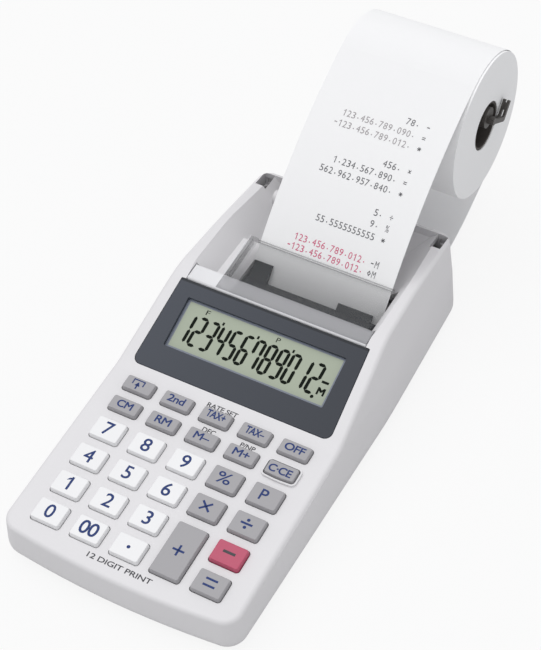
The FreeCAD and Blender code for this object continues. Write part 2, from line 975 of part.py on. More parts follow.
def make_battery_contacts():
    """The plates at both ends of the battery box, a bump against each cell end."""
    solids = []
    inset = (box_depth - cell_length - cell_nub_length) / 2
    for index in range(cell_count):
        x = box_left_x() + cell_gap + cell_radius + index * cell_pitch()
        for end in (0, 1):
            half = cell_radius - 0.8
            y = box_front_y + 0.05 if end == 0 else box_back_y - 0.05 - contact_thickness
            plate = box(x - half, x + half, y, y + contact_thickness, cell_z() - half, cell_z() + half)
            length = inset - 0.05 - contact_thickness - 0.05
            if end == 0:
                bump = Part.makeCone(
                    cell_nub_radius, 1.4, length, Vector(x, y + contact_thickness, cell_z()),
                    Vector(0, 1, 0)
                )
            else:
                bump = Part.makeCone(
                    cell_nub_radius, 1.4, length, Vector(x, y, cell_z()), Vector(0, -1, 0)
                )
            solids.append(fuse([plate, bump]))
    return Part.makeCompound(solids)


def jack_front_y():
    height_share = (jack_z + jack_height / 2 - parting_z) / (shoulder_z - parting_z)
    return half_length - rear_draft * height_share - wall - 2 * fit_gap


def make_dc_jack():
    """The power inlet: a block with a round socket and a centre pin."""
    rear = jack_front_y()
    half = jack_width / 2
    block = box(
        jack_x - half, jack_x + half, rear - jack_depth, rear, jack_z - jack_height / 2,
        jack_z + jack_height / 2
    )
    nose = rod_y_axis(jack_x, rear - 1, rear + wall - 0.1, jack_z, jack_bore_radius + 0.9)
    mouth = rear + wall - 0.1
    bore = rod_y_axis(jack_x, mouth - jack_bore_depth, mouth + 1, jack_z, jack_bore_radius)
    pin = rod_y_axis(jack_x, mouth - jack_bore_depth - 0.5, mouth - 2.0, jack_z, jack_pin_radius)
    return fuse([cut(fuse([block, nose]), [bore]), pin])


def jack_clips():
    """Two ribs on the rear wall that hold the power inlet."""
    clips = []
    rear = jack_front_y() + wall
    for side in (-1, 1):
        x0, x1 = sorted(
            (jack_x + side * (jack_width / 2 + fit_gap), jack_x + side * (jack_width / 2 + 1.4))
        )
        clips.append(box(x0, x1, rear - jack_depth, rear, jack_z - 4, jack_z + 4))
    return clips


# Feet and screws
def make_feet():
    feet = []
    for x, y in foot_places():
        pad = rod_up(x, y, 0, bottom_z + foot_recess, foot_radius)
        feet.append(pad.makeFillet(0.5, [e for e in pad.Edges if e.BoundBox.ZMax < 0.01]))
    return Part.makeCompound(feet)


def make_case_screws():
    screws = []
    for x, y, radius, top in post_places():
        seat = bottom_z + screw_well_depth
        shank = rod_up(x, y, seat, parting_z + screw_bite, screw_radius)
        head = rod_up(x, y, seat - screw_head_height, seat, screw_head_radius)
        cross = box(
            x - 1.3, x + 1.3, y - 0.3, y + 0.3, seat - screw_head_height - 1,
            seat - screw_head_height + 0.8
        )
        other = box(
            x - 0.3, x + 0.3, y - 1.3, y + 1.3, seat - screw_head_height - 1,
            seat - screw_head_height + 0.8
        )
        screws.append(cut(fuse([head, shank]), [cross, other]))
    return Part.makeCompound(screws)


# Printer cover
def make_printer_cover():
    """The clear cover: a hinged flange, a sloping window with a toothed tear edge, and side walls."""
    nose = rod_x(-cover_flange_half, cover_flange_half, 0, 0, cover_thickness)
    flange = box(-cover_flange_half, cover_flange_half, 0, cover_flange_depth, 0, cover_thickness)
    plate = box(cover_left_x, cover_right_x, 0, cover_length, 0, cover_thickness)
    ledge_z = well_floor_z + 0.4 - cover_pivot_z
    walls = []
    for x0 in (cover_left_x, cover_right_x - 1.0):
        rear_z = -cover_wall_drop
        outline = [(cover_flange_depth, 0.1, 0), (cover_length, 0.1, 0), (cover_length, rear_z, 0)]
        outline += [(cover_flange_depth + 1.0, ledge_z, 0), (cover_flange_depth, ledge_z + 1.0, 0)]
        walls.append(prism(outline, side_yz(x0), Vector(1.0, 0, 0)))
    pins = rod_x(
        -cover_flange_half - cover_pin_length, cover_flange_half + cover_pin_length, 0, 0,
        cover_pin_radius
    )
    body = fuse([nose, flange, plate, pins] + walls)
    return placed(body.cut(tear_gaps()).removeSplitter(), cover_place)


def tear_gaps():
    """The vee gaps between the teeth of the tear edge."""
    gaps = []
    first = paper_left_x - 1.0
    count = int((paper_right_x + 0.6 - first) / tooth_pitch)
    for step in range(count):
        x = first + step * tooth_pitch
        corners = [(x, cover_length + 0.1, 0), (x + tooth_pitch / 2, cover_length - tooth_depth, 0)]
        corners.append((x + tooth_pitch - 0.02, cover_length + 0.1, 0))
        gaps.append(prism(corners, flat_xy(-0.5), Vector(0, 0, cover_thickness + 1)))
    return gaps


def make_guide_cover():
    """The dark cover over the print wheel, with a finger over each paper edge."""
    slope = [
        (guide_front_y, guide_front_z, 0),
        (guide_rear_y, guide_rear_z, 0),
        (guide_rear_y, guide_rear_z - guide_thickness, 0),
        (guide_front_y, guide_front_z - guide_thickness, 0),
    ]
    plate = prism(slope, side_yz(well_left_x + 0.4), Vector(well_right_x - well_left_x - 0.8, 0, 0))
    offset = paper_thickness / 2 + finger_gap
    nx, nz = -exit_direction[1], exit_direction[0]
    base_y = exit_y + offset * nx
    base_z = exit_z + offset * nz
    fingers = []
    for x0, x1, length in ((-21.6, -13.6, finger_length), (16.8, 31.6, finger_length * 0.4)):
        a = (base_y, base_z)
        b = (base_y + length * exit_direction[0], base_z + length * exit_direction[1])
        c = (b[0] + finger_thickness * nx, b[1] + finger_thickness * nz)
        d = (guide_rear_y - 2.0, guide_rear_z - guide_thickness * 0.5)
        corners = [(a[0], a[1], 0), (b[0], b[1], 0), (c[0], c[1], 0), (d[0], d[1], 0)]
        fingers.append(prism(corners, side_yz(x0), Vector(x1 - x0, 0, 0)))
    legs = []
    for x0 in (well_left_x + 0.4, well_right_x - 1.6):
        leg = [
            (guide_front_y + 1, guide_front_z - 1.0, 0),
            (guide_rear_y - 1, guide_rear_z - 0.8, 0),
            (guide_rear_y - 1, frame_top_z + 0.05, 0),
            (guide_front_y + 1, frame_top_z + 0.05, 0),
        ]
        legs.append(prism(leg, side_yz(x0), Vector(1.2, 0, 0)))
    return fuse([plate] + fingers + legs)


# Printer
def make_printer_frame():
    """Two side plates joined by cross bars."""
    profile = [
        (frame_front_y, frame_step_z, 0.8),
        (frame_step_y, frame_step_z, 0),
        (frame_step_y, frame_low_z, 0.8),
        (frame_rear_y, frame_low_z, 0.8),
        (frame_rear_y, frame_rear_z, 0.8),
        (bay_front_y - 1.0, frame_rear_z, 0),
        (bay_front_y - 3.0, frame_top_z, 0.8),
        (frame_front_y, frame_top_z, 0.8),
    ]
    plates = []
    for x in (frame_left_x, frame_right_x):
        plates.append(prism(profile, side_yz(x), Vector(frame_wall, 0, 0)))
    x0 = frame_left_x + frame_wall / 2
    x1 = frame_right_x + frame_wall / 2
    bars = [
        box(x0, x1, frame_front_y, frame_front_y + 1.4, frame_step_z, frame_step_z + 4.5),
        box(x0, x1, frame_rear_y - 1.4, frame_rear_y, path_z + 4.6, path_z + 6.6),
        box(x0, x1, frame_step_y + 0.4, frame_step_y + 2.4, frame_low_z, frame_low_z + 2.0),
    ]
    frame = fuse(plates + bars)
    holes = []
    for y, z, radius in bearing_places():
        holes.append(rod_x(frame_left_x - 1, frame_right_x + frame_wall + 1, y, z, radius))
    return cut(frame, holes)


def feed_axis():
    """The feed roller's axis: on the pinion's pitch distance, with its rubber on the paper."""
    motor_y, motor_z = motor_axis()
    z = path_z + paper_thickness / 2 + 0.05 + feed_radius
    reach = gear_module * (pinion_teeth + feed_teeth) / 2
    return motor_y + math.sqrt(reach**2 - (z - motor_z) ** 2), z


def pinch_axis():
    return feed_axis()[0], path_z - paper_thickness / 2 - 0.05 - pinch_radius


def reduction_axis():
    reach = gear_module * (drive_teeth + reduction_small_teeth) / 2
    angle = math.radians(reduction_angle)
    return wheel_y + reach * math.cos(angle), wheel_z + reach * math.sin(angle)


def motor_axis():
    y, z = reduction_axis()
    return y + gear_module * (reduction_teeth + pinion_teeth) / 2, z


def bearing_places():
    feed_y, feed_z = feed_axis()
    pinch_y, pinch_z = pinch_axis()
    return [
        (wheel_y, wheel_z, shaft_radius + running_gap),
        (rod_y, rod_z, rod_radius),
        (feed_y, feed_z, feed_shaft_radius + running_gap),
        (pinch_y, pinch_z, 0.8 + running_gap),
    ]


def make_carriage_rod():
    return rod_x(frame_left_x - 0.8, frame_right_x + frame_wall + 0.8, rod_y, rod_z, rod_radius)


def make_platen():
    """The curved bar behind the paper where the print wheel strikes."""
    radius = bend_radius - paper_thickness / 2 - platen_gap
    half_round = rod_x(
        frame_left_x + frame_wall + fit_gap, frame_right_x - fit_gap, bend_y, bend_z, radius
    )
    keep = box(
        -half_width, half_width, bend_y - radius - 1, bend_y + 1.2, bend_z - radius - 1, bend_z + 5.0
    )
    hollow = rod_x(-half_width, half_width, bend_y, bend_z, radius - 2.4)
    bar = half_round.cut(hollow).common(keep)
    return bar


def gear(teeth, x0, x1, y, z, phase):
    """A spur gear on an axis along X; phase is the angle of one tooth's middle, in degrees."""
    pitch_radius = gear_module * teeth / 2
    tip = pitch_radius + 0.85 * gear_module
    root = pitch_radius - 1.15 * gear_module
    step = 360.0 / teeth
    half_root = step * tooth_share * 0.62
    half_tip = step * tooth_share * 0.26
    points = []
    for index in range(teeth):
        middle = phase + index * step
        for radius, angle in ((root, -half_root), (tip, -half_tip), (tip, half_tip), (root, half_root)):
            turn = math.radians(middle + angle)
            points.append(Vector(x0, y + radius * math.cos(turn), z + radius * math.sin(turn)))
    points.append(points[0])
    return Part.Face(Part.makePolygon(points)).extrude(Vector(x1 - x0, 0, 0))


def angle_to(a, b):
    return math.degrees(math.atan2(b[1] - a[1], b[0] - a[0]))


def gear_phases():
    """Tooth angles that put every pair in mesh."""
    drive = (wheel_y, wheel_z)
    reduction = reduction_axis()
    motor = motor_axis()
    feed = feed_axis()
    phases = {}
    phases["drive"] = angle_to(drive, reduction)
    phases["small"] = angle_to(reduction, drive) + 180.0 / reduction_small_teeth
    phases["large"] = angle_to(reduction, motor)
    phases["pinion"] = angle_to(motor, reduction) + 180.0 / pinion_teeth
    toward_feed = angle_to(motor, feed)
    offset = (toward_feed - phases["pinion"]) % (360.0 / pinion_teeth)
    share = offset / (360.0 / pinion_teeth)
    phases["feed"] = angle_to(feed, motor) + (0.5 + share) * 360.0 / feed_teeth
    return phases


def make_motor():
    """The motor can with a flat on each side, and its mounting boss."""
    y, z = motor_axis()
    x1 = outer_gear_x - 0.8
    can = rod_x(x1 - motor_length, x1, y, z, motor_radius)
    flats = box(
        x1 - motor_length - 1, x1 + 1, y - motor_radius, y + motor_radius, z - motor_radius * 0.85,
        z + motor_radius * 0.85
    )
    bore = rod_x(x1 - 3, x1 + 1, y, z, 0.8 + running_gap)
    boss = rod_x(x1 - motor_length - 0.8, x1 - motor_length, y, z, 2.4)
    return cut(fuse([can.common(flats), boss]), [bore])


def make_motor_pinion():
    y, z = motor_axis()
    teeth = gear(pinion_teeth, outer_gear_x, outer_gear_x + gear_face, y, z, gear_phases()["pinion"])
    shaft = rod_x(outer_gear_x - 3.2, outer_gear_x + gear_face + 0.3, y, z, 0.8)
    return fuse([teeth, shaft])


def make_reduction_gear():
    """The large and small wheels turned as one, on a stub into the side plate."""
    y, z = reduction_axis()
    phases = gear_phases()
    large = gear(reduction_teeth, outer_gear_x, outer_gear_x + gear_face, y, z, phases["large"])
    small = gear(
        reduction_small_teeth, outer_gear_x + gear_face, inner_gear_x + gear_face, y, z, phases["small"]
    )
    bore = rod_x(outer_gear_x - 1, inner_gear_x + gear_face + 1, y, z, 0.8 + running_gap)
    return cut(fuse([large, small]), [bore])


def reduction_stub():
    y, z = reduction_axis()
    return rod_x(outer_gear_x - 0.4, frame_left_x + 0.4, y, z, 0.8)


def make_drive_shaft():
    """The drive gear on the shaft that turns the print wheel."""
    toothed = gear(
        drive_teeth, inner_gear_x, inner_gear_x + gear_face, wheel_y, wheel_z, gear_phases()["drive"]
    )
    shaft = rod_x(inner_gear_x, frame_right_x + frame_wall + 0.6, wheel_y, wheel_z, shaft_radius)
    return fuse([toothed, shaft])


def make_print_wheel():
    """The type wheel: a drum with a raised type face at each position."""
    x0 = carriage_home_x - wheel_width / 2
    drum = rod_x(x0, x0 + wheel_width, wheel_y, wheel_z, wheel_radius - type_height)
    types = []
    for index in range(type_count):
        angle = math.radians(180 + (index + 0.5) * 360.0 / type_count)
        middle = wheel_radius - type_height / 2 - 0.15
        pad = box(
            x0 + 0.5, x0 + wheel_width - 0.5, -type_height / 2 - 0.15, type_height / 2 + 0.15, -0.75,
            0.75
        )
        turn = Rotation(Vector(1, 0, 0), math.degrees(angle))
        place = Vector(0, wheel_y + middle * math.cos(angle), wheel_z + middle * math.sin(angle))
        types.append(placed(pad, Placement(place, turn)))
    bore = rod_x(x0 - 1, x0 + wheel_width + 1, wheel_y, wheel_z, shaft_radius + running_gap)
    return cut(fuse([drum] + types), [bore])


def ink_axis():
    reach = wheel_radius + ink_radius + 0.1
    angle = math.radians(ink_angle)
    return wheel_y + reach * math.cos(angle), wheel_z + reach * math.sin(angle)


def make_ink_roller():
    """The inked foam roller on its own small hub."""
    y, z = ink_axis()
    x0 = carriage_home_x - ink_width / 2
    foam = rod_x(x0 + 0.4, x0 + ink_width - 0.4, y, z, ink_radius)
    hub = rod_x(x0, x0 + ink_width, y, z, 1.2)
    pins = rod_x(x0 - carriage_wall + 0.3, x0 + ink_width + carriage_wall - 0.3, y, z, 0.7)
    return fuse([foam, hub, pins])


def make_carriage():
    """The carriage: two cheeks round the print wheel and a slide bearing on the rod."""
    ink_y, ink_z = ink_axis()
    half = ink_width / 2 + 0.2
    cheek = [
        (rod_y - 2.6, rod_z - 1.6, 1.0),
        (rod_y + 2.6, rod_z - 1.6, 1.0),
        (wheel_y + 3.0, wheel_z - 2.0, 1.0),
        (wheel_y + 2.4, wheel_z + 3.0, 1.0),
        (ink_y + 1.4, ink_z + 1.7, 1.0),
        (ink_y - 1.9, ink_z + 1.0, 1.0),
    ]
    cheeks = []
    for x0 in (carriage_home_x - half - carriage_wall, carriage_home_x + half):
        cheeks.append(prism(cheek, side_yz(x0), Vector(carriage_wall, 0, 0)))
    low = rod_z - 1.4
    bridge = box(
        carriage_home_x - half - 0.5, carriage_home_x + half + 0.5, rod_y - 2.4, rod_y + 2.2, low,
        rod_z + 1.9
    )
    carriage = fuse(cheeks + [bridge])
    bores = [
        rod_x(carriage_home_x - 9, carriage_home_x + 9, rod_y, rod_z, rod_radius + running_gap),
        rod_x(carriage_home_x - 9, carriage_home_x + 9, wheel_y, wheel_z, shaft_radius + running_gap),
        rod_x(carriage_home_x - 9, carriage_home_x + 9, ink_y, ink_z, 0.7 + running_gap),
        rod_x(carriage_home_x - half, carriage_home_x + half, wheel_y, wheel_z, wheel_radius + 0.4),
    ]
    return cut(carriage, bores)


def band_places():
    centre = (paper_left_x + paper_right_x) / 2
    return [centre - paper_width * 0.3, centre + paper_width * 0.3]


def make_feed_roller():
    """The feed shaft with two rubber bands and its gear."""
    y, z = feed_axis()
    shaft = rod_x(outer_gear_x, frame_right_x + frame_wall + 0.5, y, z, feed_shaft_radius)
    toothed = gear(feed_teeth, outer_gear_x, outer_gear_x + gear_face, y, z, gear_phases()["feed"])
    bands = [
        rod_x(x - feed_band_width / 2, x + feed_band_width / 2, y, z, feed_radius)
        for x in band_places()
    ]
    return fuse([shaft, toothed] + bands)


def make_pinch_rollers():
    y, z = pinch_axis()
    shaft = rod_x(frame_left_x + 0.2, frame_right_x + frame_wall - 0.2, y, z, 0.8)
    bands = [
        rod_x(x - feed_band_width / 2, x + feed_band_width / 2, y, z, pinch_radius)
        for x in band_places()
    ]
    return fuse([shaft] + bands)


# Paper
def make_paper_roll():
    outer = rod_x(paper_left_x, roll_right_x, roll_y, roll_z, roll_radius)
    bore = rod_x(paper_left_x - 1, roll_right_x + 1, roll_y, roll_z, roll_bore_radius + core_wall)
    return outer.cut(bore)


def make_roll_core():
    x0 = paper_left_x + core_recess
    x1 = roll_right_x - core_recess
    outer = rod_x(x0, x1, roll_y, roll_z, roll_bore_radius + core_wall)
    return outer.cut(rod_x(x0 - 1, x1 + 1, roll_y, roll_z, roll_bore_radius))


def paper_route():
    """The paper's middle line from the back of the roll, through the printer and over the roll again.

    A list of pieces: ("line", start, end) or ("arc", start, middle, end), each point as (y, z).
    """
    wrap = roll_radius + paper_gap + paper_thickness / 2
    leave = math.radians(web_angle - 90)
    top = (roll_y + wrap * math.cos(leave), roll_z + wrap * math.sin(leave))
    slope = math.radians(web_angle)
    cross_y = top[0] - (top[1] - path_z) / math.tan(slope)
    reach = web_sag_radius * math.tan(slope / 2)
    sag_end = (cross_y + reach * math.cos(slope), path_z + reach * math.sin(slope))
    sag_start = (cross_y - reach, path_z)
    half = slope / 2
    sag_mid = (
        sag_start[0] + web_sag_radius * math.sin(half),
        path_z + web_sag_radius * (1 - math.cos(half)),
    )
    bend_low = (bend_y, path_z)
    out_angle = math.radians(90 + exit_angle)
    bend_out = (bend_y + bend_radius * math.cos(out_angle), bend_z + bend_radius * math.sin(out_angle))
    mid_angle = (math.radians(270) + out_angle) / 2
    bend_mid = (bend_y + bend_radius * math.cos(mid_angle), bend_z + bend_radius * math.sin(mid_angle))
    run = (tear_point_z - bend_out[1]) / exit_direction[1]
    free = (bend_out[0] + run * exit_direction[0], tear_point_z)
    away = (free[0] - roll_y, free[1] - roll_z)
    inward = (exit_direction[1], -exit_direction[0])
    along = away[0] * inward[0] + away[1] * inward[1]
    sweep = (wrap**2 - away[0] ** 2 - away[1] ** 2) / (2 * (along + wrap))
    centre = (free[0] + sweep * inward[0], free[1] + sweep * inward[1])
    touch_angle = math.atan2(roll_z - centre[1], roll_y - centre[0])
    touch = (roll_y + wrap * math.cos(touch_angle), roll_z + wrap * math.sin(touch_angle))
    start_angle = math.radians(90 + exit_angle)
    middle_angle = (start_angle + touch_angle) / 2
    sweep_mid = (centre[0] + sweep * math.cos(middle_angle), centre[1] + sweep * math.sin(middle_angle))
    end_angle = math.radians(tape_end_angle)
    end = (roll_y + wrap * math.cos(end_angle), roll_z + wrap * math.sin(end_angle))
    over = (touch_angle + end_angle) / 2
    over_mid = (roll_y + wrap * math.cos(over), roll_z + wrap * math.sin(over))
    return [
        ("line", top, sag_end),
        ("arc", sag_end, sag_mid, sag_start),
        ("line", sag_start, bend_low),
        ("arc", bend_low, bend_mid, bend_out),
        ("line", bend_out, free),
        ("arc", free, sweep_mid, touch),
        ("arc", touch, over_mid, end),
    ]


def make_paper_tape():
    """The paper strip, one thickness wide of its middle line."""
    edges = []
    for piece in paper_route():
        points = [Vector(paper_left_x, p[0], p[1]) for p in piece[1:]]
        if piece[0] == "line":
            edges.append(Part.LineSegment(points[0], points[1]).toShape())
        else:
            edges.append(Part.Arc(points[0], points[1], points[2]).toShape())
    line = Part.Wire(edges)
    half = paper_thickness / 2
    one = line.makeOffset2D(half, 0, False, True, False)
    two = line.makeOffset2D(-half, 0, False, True, False)
    return strip_between(one, two)


def strip_between(one, two):
    first = one.OrderedVertexes
    second = two.OrderedVertexes
    joins = [
        Part.LineSegment(first[0].Point, second[0].Point).toShape(),
        Part.LineSegment(first[-1].Point, second[-1].Point).toShape(),
    ]
    wire = Part.Wire(Part.__sortEdges__(one.Edges + two.Edges + joins))
    return Part.Face(wire).extrude(Vector(paper_width, 0, 0))


# Roll holder
def arm_line():
    """The arm's start at its pivot, its end at the spindle, and its unit direction."""
    spindle_z = roll_z + roll_bore_radius - spindle_gap - spindle_radius
    length = math.hypot(roll_y - arm_pivot_y, spindle_z - arm_pivot_z)
    direction = ((roll_y - arm_pivot_y) / length, (spindle_z - arm_pivot_z) / length)
    return (arm_pivot_y, arm_pivot_z), (roll_y, spindle_z), direction


def beam(x0, x1, half, start_extra, end_extra):
    """A straight bar along the arm's line, half thick each way."""
    a, b, d = arm_line()
    n = (-d[1], d[0])
    p = (a[0] + start_extra * d[0], a[1] + start_extra * d[1])
    q = (b[0] + end_extra * d[0], b[1] + end_extra * d[1])
    corners = [
        (p[0] - half * n[0], p[1] - half * n[1], 0),
        (q[0] - half * n[0], q[1] - half * n[1], 0),
        (q[0] + half * n[0], q[1] + half * n[1], 0),
        (p[0] + half * n[0], p[1] + half * n[1], 0),
    ]
    return prism(corners, side_yz(x0), Vector(x1 - x0, 0, 0))


def arm_notch():
    """The gap in the rear wall that the arm lies in."""
    notch = beam(arm_left_x - 0.6, arm_left_x + arm_width + 0.6, arm_height / 2 + notch_gap, 0, 0)
    above = beam(arm_left_x - 0.6, arm_left_x + arm_width + 0.6, arm_height / 2 + notch_gap, 0, 0)
    above.translate(Vector(0, 0, arm_height))
    rear = box(-half_width, half_width, bay_rear_y - 0.1, half_length + 5, 20, 60)
    return notch.fuse(above).common(rear)


def arm_lugs():
    """Two lugs in the bay that the arm's trunnions turn in."""
    lugs = []
    low = pocket_floor_z - lug_sink
    for x0 in (arm_left_x - lug_gap - lug_thickness, arm_left_x + arm_width + lug_gap):
        round_top = rod_x(x0, x0 + lug_thickness, arm_pivot_y, arm_pivot_z, barrel_radius)
        base = box(
            x0, x0 + lug_thickness, arm_pivot_y - barrel_radius, arm_pivot_y + barrel_radius, low,
            arm_pivot_z
        )
        bore = rod_x(
            x0 - 1, x0 + lug_thickness + 1, arm_pivot_y, arm_pivot_z, trunnion_radius + running_gap
        )
        lugs.append(round_top.fuse(base).cut(bore).removeSplitter())
    return lugs


def make_roll_holder():
    """The folding arm with its double rib, the spindle through the roll, and the end clip."""
    a, b, d = arm_line()
    x0 = arm_left_x
    x1 = arm_left_x + arm_width
    ribs = [
        beam(x0, x0 + arm_rib, arm_height / 2, 0, 0),
        beam(x1 - arm_rib, x1, arm_height / 2, 0, 0),
        beam(x0, x1, arm_web / 2, 0, 0),
    ]
    barrel = rod_x(x0, x1, a[0], a[1], barrel_radius)
    reach = lug_gap + trunnion_length
    trunnions = rod_x(x0 - reach, x1 + reach, a[0], a[1], trunnion_radius)
    hub = rod_x(x0, x1, b[0], b[1], spindle_radius + 1.6)
    spindle_end = roll_right_x + spindle_overhang
    spindle = rod_x(x0, spindle_end, b[0], b[1], spindle_radius)
    clip = []
    clip_x = spindle_end - 0.2
    for step in range(2):
        left = clip_x + step * (clip_rib + clip_gap)
        clip.append(clip_rib_solid(left, b))
    bridge = clip_bridge(clip_x, b)
    link = rod_x(clip_x, clip_x + 2 * clip_rib + clip_gap, b[0], b[1] - 1.0, 1.6)
    return fuse(ribs + [barrel, trunnions, hub, spindle, link, bridge] + clip)


def clip_elbow(b):
    return b[0] + clip_reach, b[1] - clip_drop


def clip_normal(size):
    """A step of this size square to the clip's upper leg, towards the rear."""
    length = math.hypot(clip_lean, clip_rise)
    return size * clip_rise / length, -size * clip_lean / length


def clip_rib_solid(left, b):
    """One rib of the end clip: out and down from the spindle, then up and back."""
    t = clip_thickness / 2
    elbow = clip_elbow(b)
    tip = (elbow[0] + clip_lean, elbow[1] + clip_rise)
    n = clip_normal(t)
    corners = [
        (b[0] - 1.2, b[1] + t, 0),
        (b[0] - 1.2, b[1] - t - 0.6, 0.6),
        (elbow[0] + t * 0.1, elbow[1] - t * 1.3, 1.4),
        (tip[0] + n[0], tip[1] + n[1], 0.6),
        (tip[0] - n[0], tip[1] - n[1], 0.6),
        (elbow[0] - t * 0.1, elbow[1] + t * 1.3, 0.8),
    ]
    return prism(corners, side_yz(left), Vector(clip_rib, 0, 0))


def clip_bridge(left, b):
    """The block that joins the two ribs of the end clip near their tips."""
    elbow = clip_elbow(b)
    n = clip_normal(clip_thickness * 0.4)
    corners = []
    for share, side in ((0.45, 1), (0.85, 1), (0.85, -1), (0.45, -1)):
        y = elbow[0] + share * clip_lean + side * n[0]
        z = elbow[1] + share * clip_rise + side * n[1]
        corners.append((y, z, 0))
    return prism(corners, side_yz(left), Vector(2 * clip_rib + clip_gap, 0, 0))


def export_all():
    os.makedirs("parts", exist_ok=True)
    nodes = {
        "upper_case": make_upper_case(),
        "lower_case": make_lower_case(),
        "battery_cover": make_battery_cover(),
        "display_window": make_display_window(),
        "lcd_glass": make_lcd_glass(),
        "lcd_frame": make_lcd_frame(),
        "rubber_keypad": make_rubber_keypad(),
        "main_board": make_main_board(),
        "printer_cover": make_printer_cover(),
        "guide_cover": make_guide_cover(),
        "printer_frame": fuse([make_printer_frame(), reduction_stub()]),
        "carriage_rod": make_carriage_rod(),
        "printer_motor": make_motor(),
        "motor_pinion": make_motor_pinion(),
        "reduction_gear": make_reduction_gear(),
        "drive_shaft": make_drive_shaft(),
        "print_wheel": make_print_wheel(),
        "carriage": make_carriage(),
        "ink_roller": make_ink_roller(),
        "platen": make_platen(),
        "feed_roller": make_feed_roller(),
        "pinch_rollers": make_pinch_rollers(),
        "paper_roll": make_paper_roll(),
        "roll_core": make_roll_core(),
        "paper_tape": make_paper_tape(),
        "roll_holder": make_roll_holder(),
        "batteries": make_batteries(),
        "battery_contacts": make_battery_contacts(),
        "dc_jack": make_dc_jack(),
        "feet": make_feet(),
        "case_screws": make_case_screws(),
    }
    for name, column, row, kind in key_table():
        nodes[name] = make_key(column, row, kind)
    middle_y = (roll_y + roll_radius - half_length) / 2
    for name, shape in nodes.items():
        if not shape.isValid():
            print("invalid", name)
        shape.translate(Vector(0, -middle_y, 0))
        print(name, len(shape.Solids), round(shape.Volume, 1))
        shape.exportStep("parts/" + name + ".step")


export_all()
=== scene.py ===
import math

import bpy
from bpy.props import FloatProperty, FloatVectorProperty, PointerProperty
from mathutils import Matrix, Vector


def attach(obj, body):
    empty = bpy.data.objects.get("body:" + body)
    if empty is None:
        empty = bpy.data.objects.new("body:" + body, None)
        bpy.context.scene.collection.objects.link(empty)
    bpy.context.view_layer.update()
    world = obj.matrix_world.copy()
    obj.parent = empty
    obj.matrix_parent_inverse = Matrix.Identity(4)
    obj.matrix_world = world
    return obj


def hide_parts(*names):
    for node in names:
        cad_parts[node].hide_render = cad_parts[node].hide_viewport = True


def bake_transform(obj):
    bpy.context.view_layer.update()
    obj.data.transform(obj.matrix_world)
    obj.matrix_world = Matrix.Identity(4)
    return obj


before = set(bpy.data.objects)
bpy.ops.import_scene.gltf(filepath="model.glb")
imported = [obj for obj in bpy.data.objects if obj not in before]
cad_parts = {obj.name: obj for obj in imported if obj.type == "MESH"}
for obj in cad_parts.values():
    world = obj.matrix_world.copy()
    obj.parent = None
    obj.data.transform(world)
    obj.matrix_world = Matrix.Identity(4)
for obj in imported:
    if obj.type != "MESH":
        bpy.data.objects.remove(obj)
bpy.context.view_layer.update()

bl_info = {
    "name": "Printing calculator",
    "version": (1, 0, 0),
    "blender": (4, 5, 0),
    "location": "View3D > Sidebar > Calculator",
    "description": "Finishes, lettering, display, printed tape and stage of a printing calculator",
    "category": "Object",
}

MM = 0.001
HAIR = 0.003 * MM
INK_LIFT = 0.03 * MM

# The sloping faces that carry lettering, in the row frame
DECK_SLOPE = math.radians(5.2)
DECK_Y = -95.65 * MM
DECK_Z = 21.6 * MM
PANEL_SLOPE = math.radians(20.5)
PANEL_Y = -46.05 * MM
PANEL_Z = 26.567 * MM
PANEL_WIDTH = 84.0 * MM
PANEL_EDGE = 37.4 * MM
GLASS_DROP = 1.67 * MM
VIEW_HALF = 33.1 * MM
VIEW_LOW = 11.7 * MM
VIEW_HIGH = 31.1 * MM

# The zones of the clear cover, some of which carry painted highlights and painted shade
CLEAR_FLANGE_Y = -2.5 * MM
CLEAR_NOSE_Y = -9.1 * MM
CLEAR_TEAR_Y = 18.7 * MM
CLEAR_TEAR_BAND = 0.6 * MM
CLEAR_LEFT_X = -26.2 * MM
CLEAR_SIDE_X = -22.9 * MM
CLEAR_WALL_Z = 38.5 * MM

# The tape's path: the slot, the straight, the long sweep, then round the roll
SLOT_Y = 9.15 * MM
SLOT_Z = 31.0 * MM
SLOT_ANGLE = math.radians(46.0)
TEAR_Z = 43.4 * MM
ROLL_Y = 100.55 * MM
ROLL_Z = 60.9 * MM
WRAP_RADIUS = 30.95 * MM
TAPE_THICKNESS = 0.2 * MM
TAPE_INK_LIFT = 0.04 * MM

# The tape's hidden stretch: the end of its flat run, and its web from there up to the roll
WEB_Y = 48.0 * MM
WEB_Z = 42.0 * MM

# How far each kind of stroke is thickened, and the closer spacing of short words
NUMBER_WEIGHT = 0.14 * MM
WORD_WEIGHT = 0.17 * MM
DECK_WEIGHT = 0.08 * MM
MARK_WEIGHT = 0.35 * MM
ZEROS_WEIGHT = 0.2 * MM
CLOSE = 0.92


# Settings
def colour(name, text, value):
    return FloatVectorProperty(
        name=name, description=text, default=value, subtype="COLOR", size=3, min=0, max=1
    )


def length(name, text, millimetres):
    return FloatProperty(
        name=name, description=text, default=millimetres * MM, subtype="DISTANCE", unit="LENGTH"
    )


def share(name, text, value):
    return FloatProperty(name=name, description=text, default=value, min=0.0, max=1.0, subtype="FACTOR")


def turn(name, text, degrees):
    return FloatProperty(name=name, description=text, default=math.radians(degrees), subtype="ANGLE")


def amount(name, text, value):
    return FloatProperty(name=name, description=text, default=value, min=0)


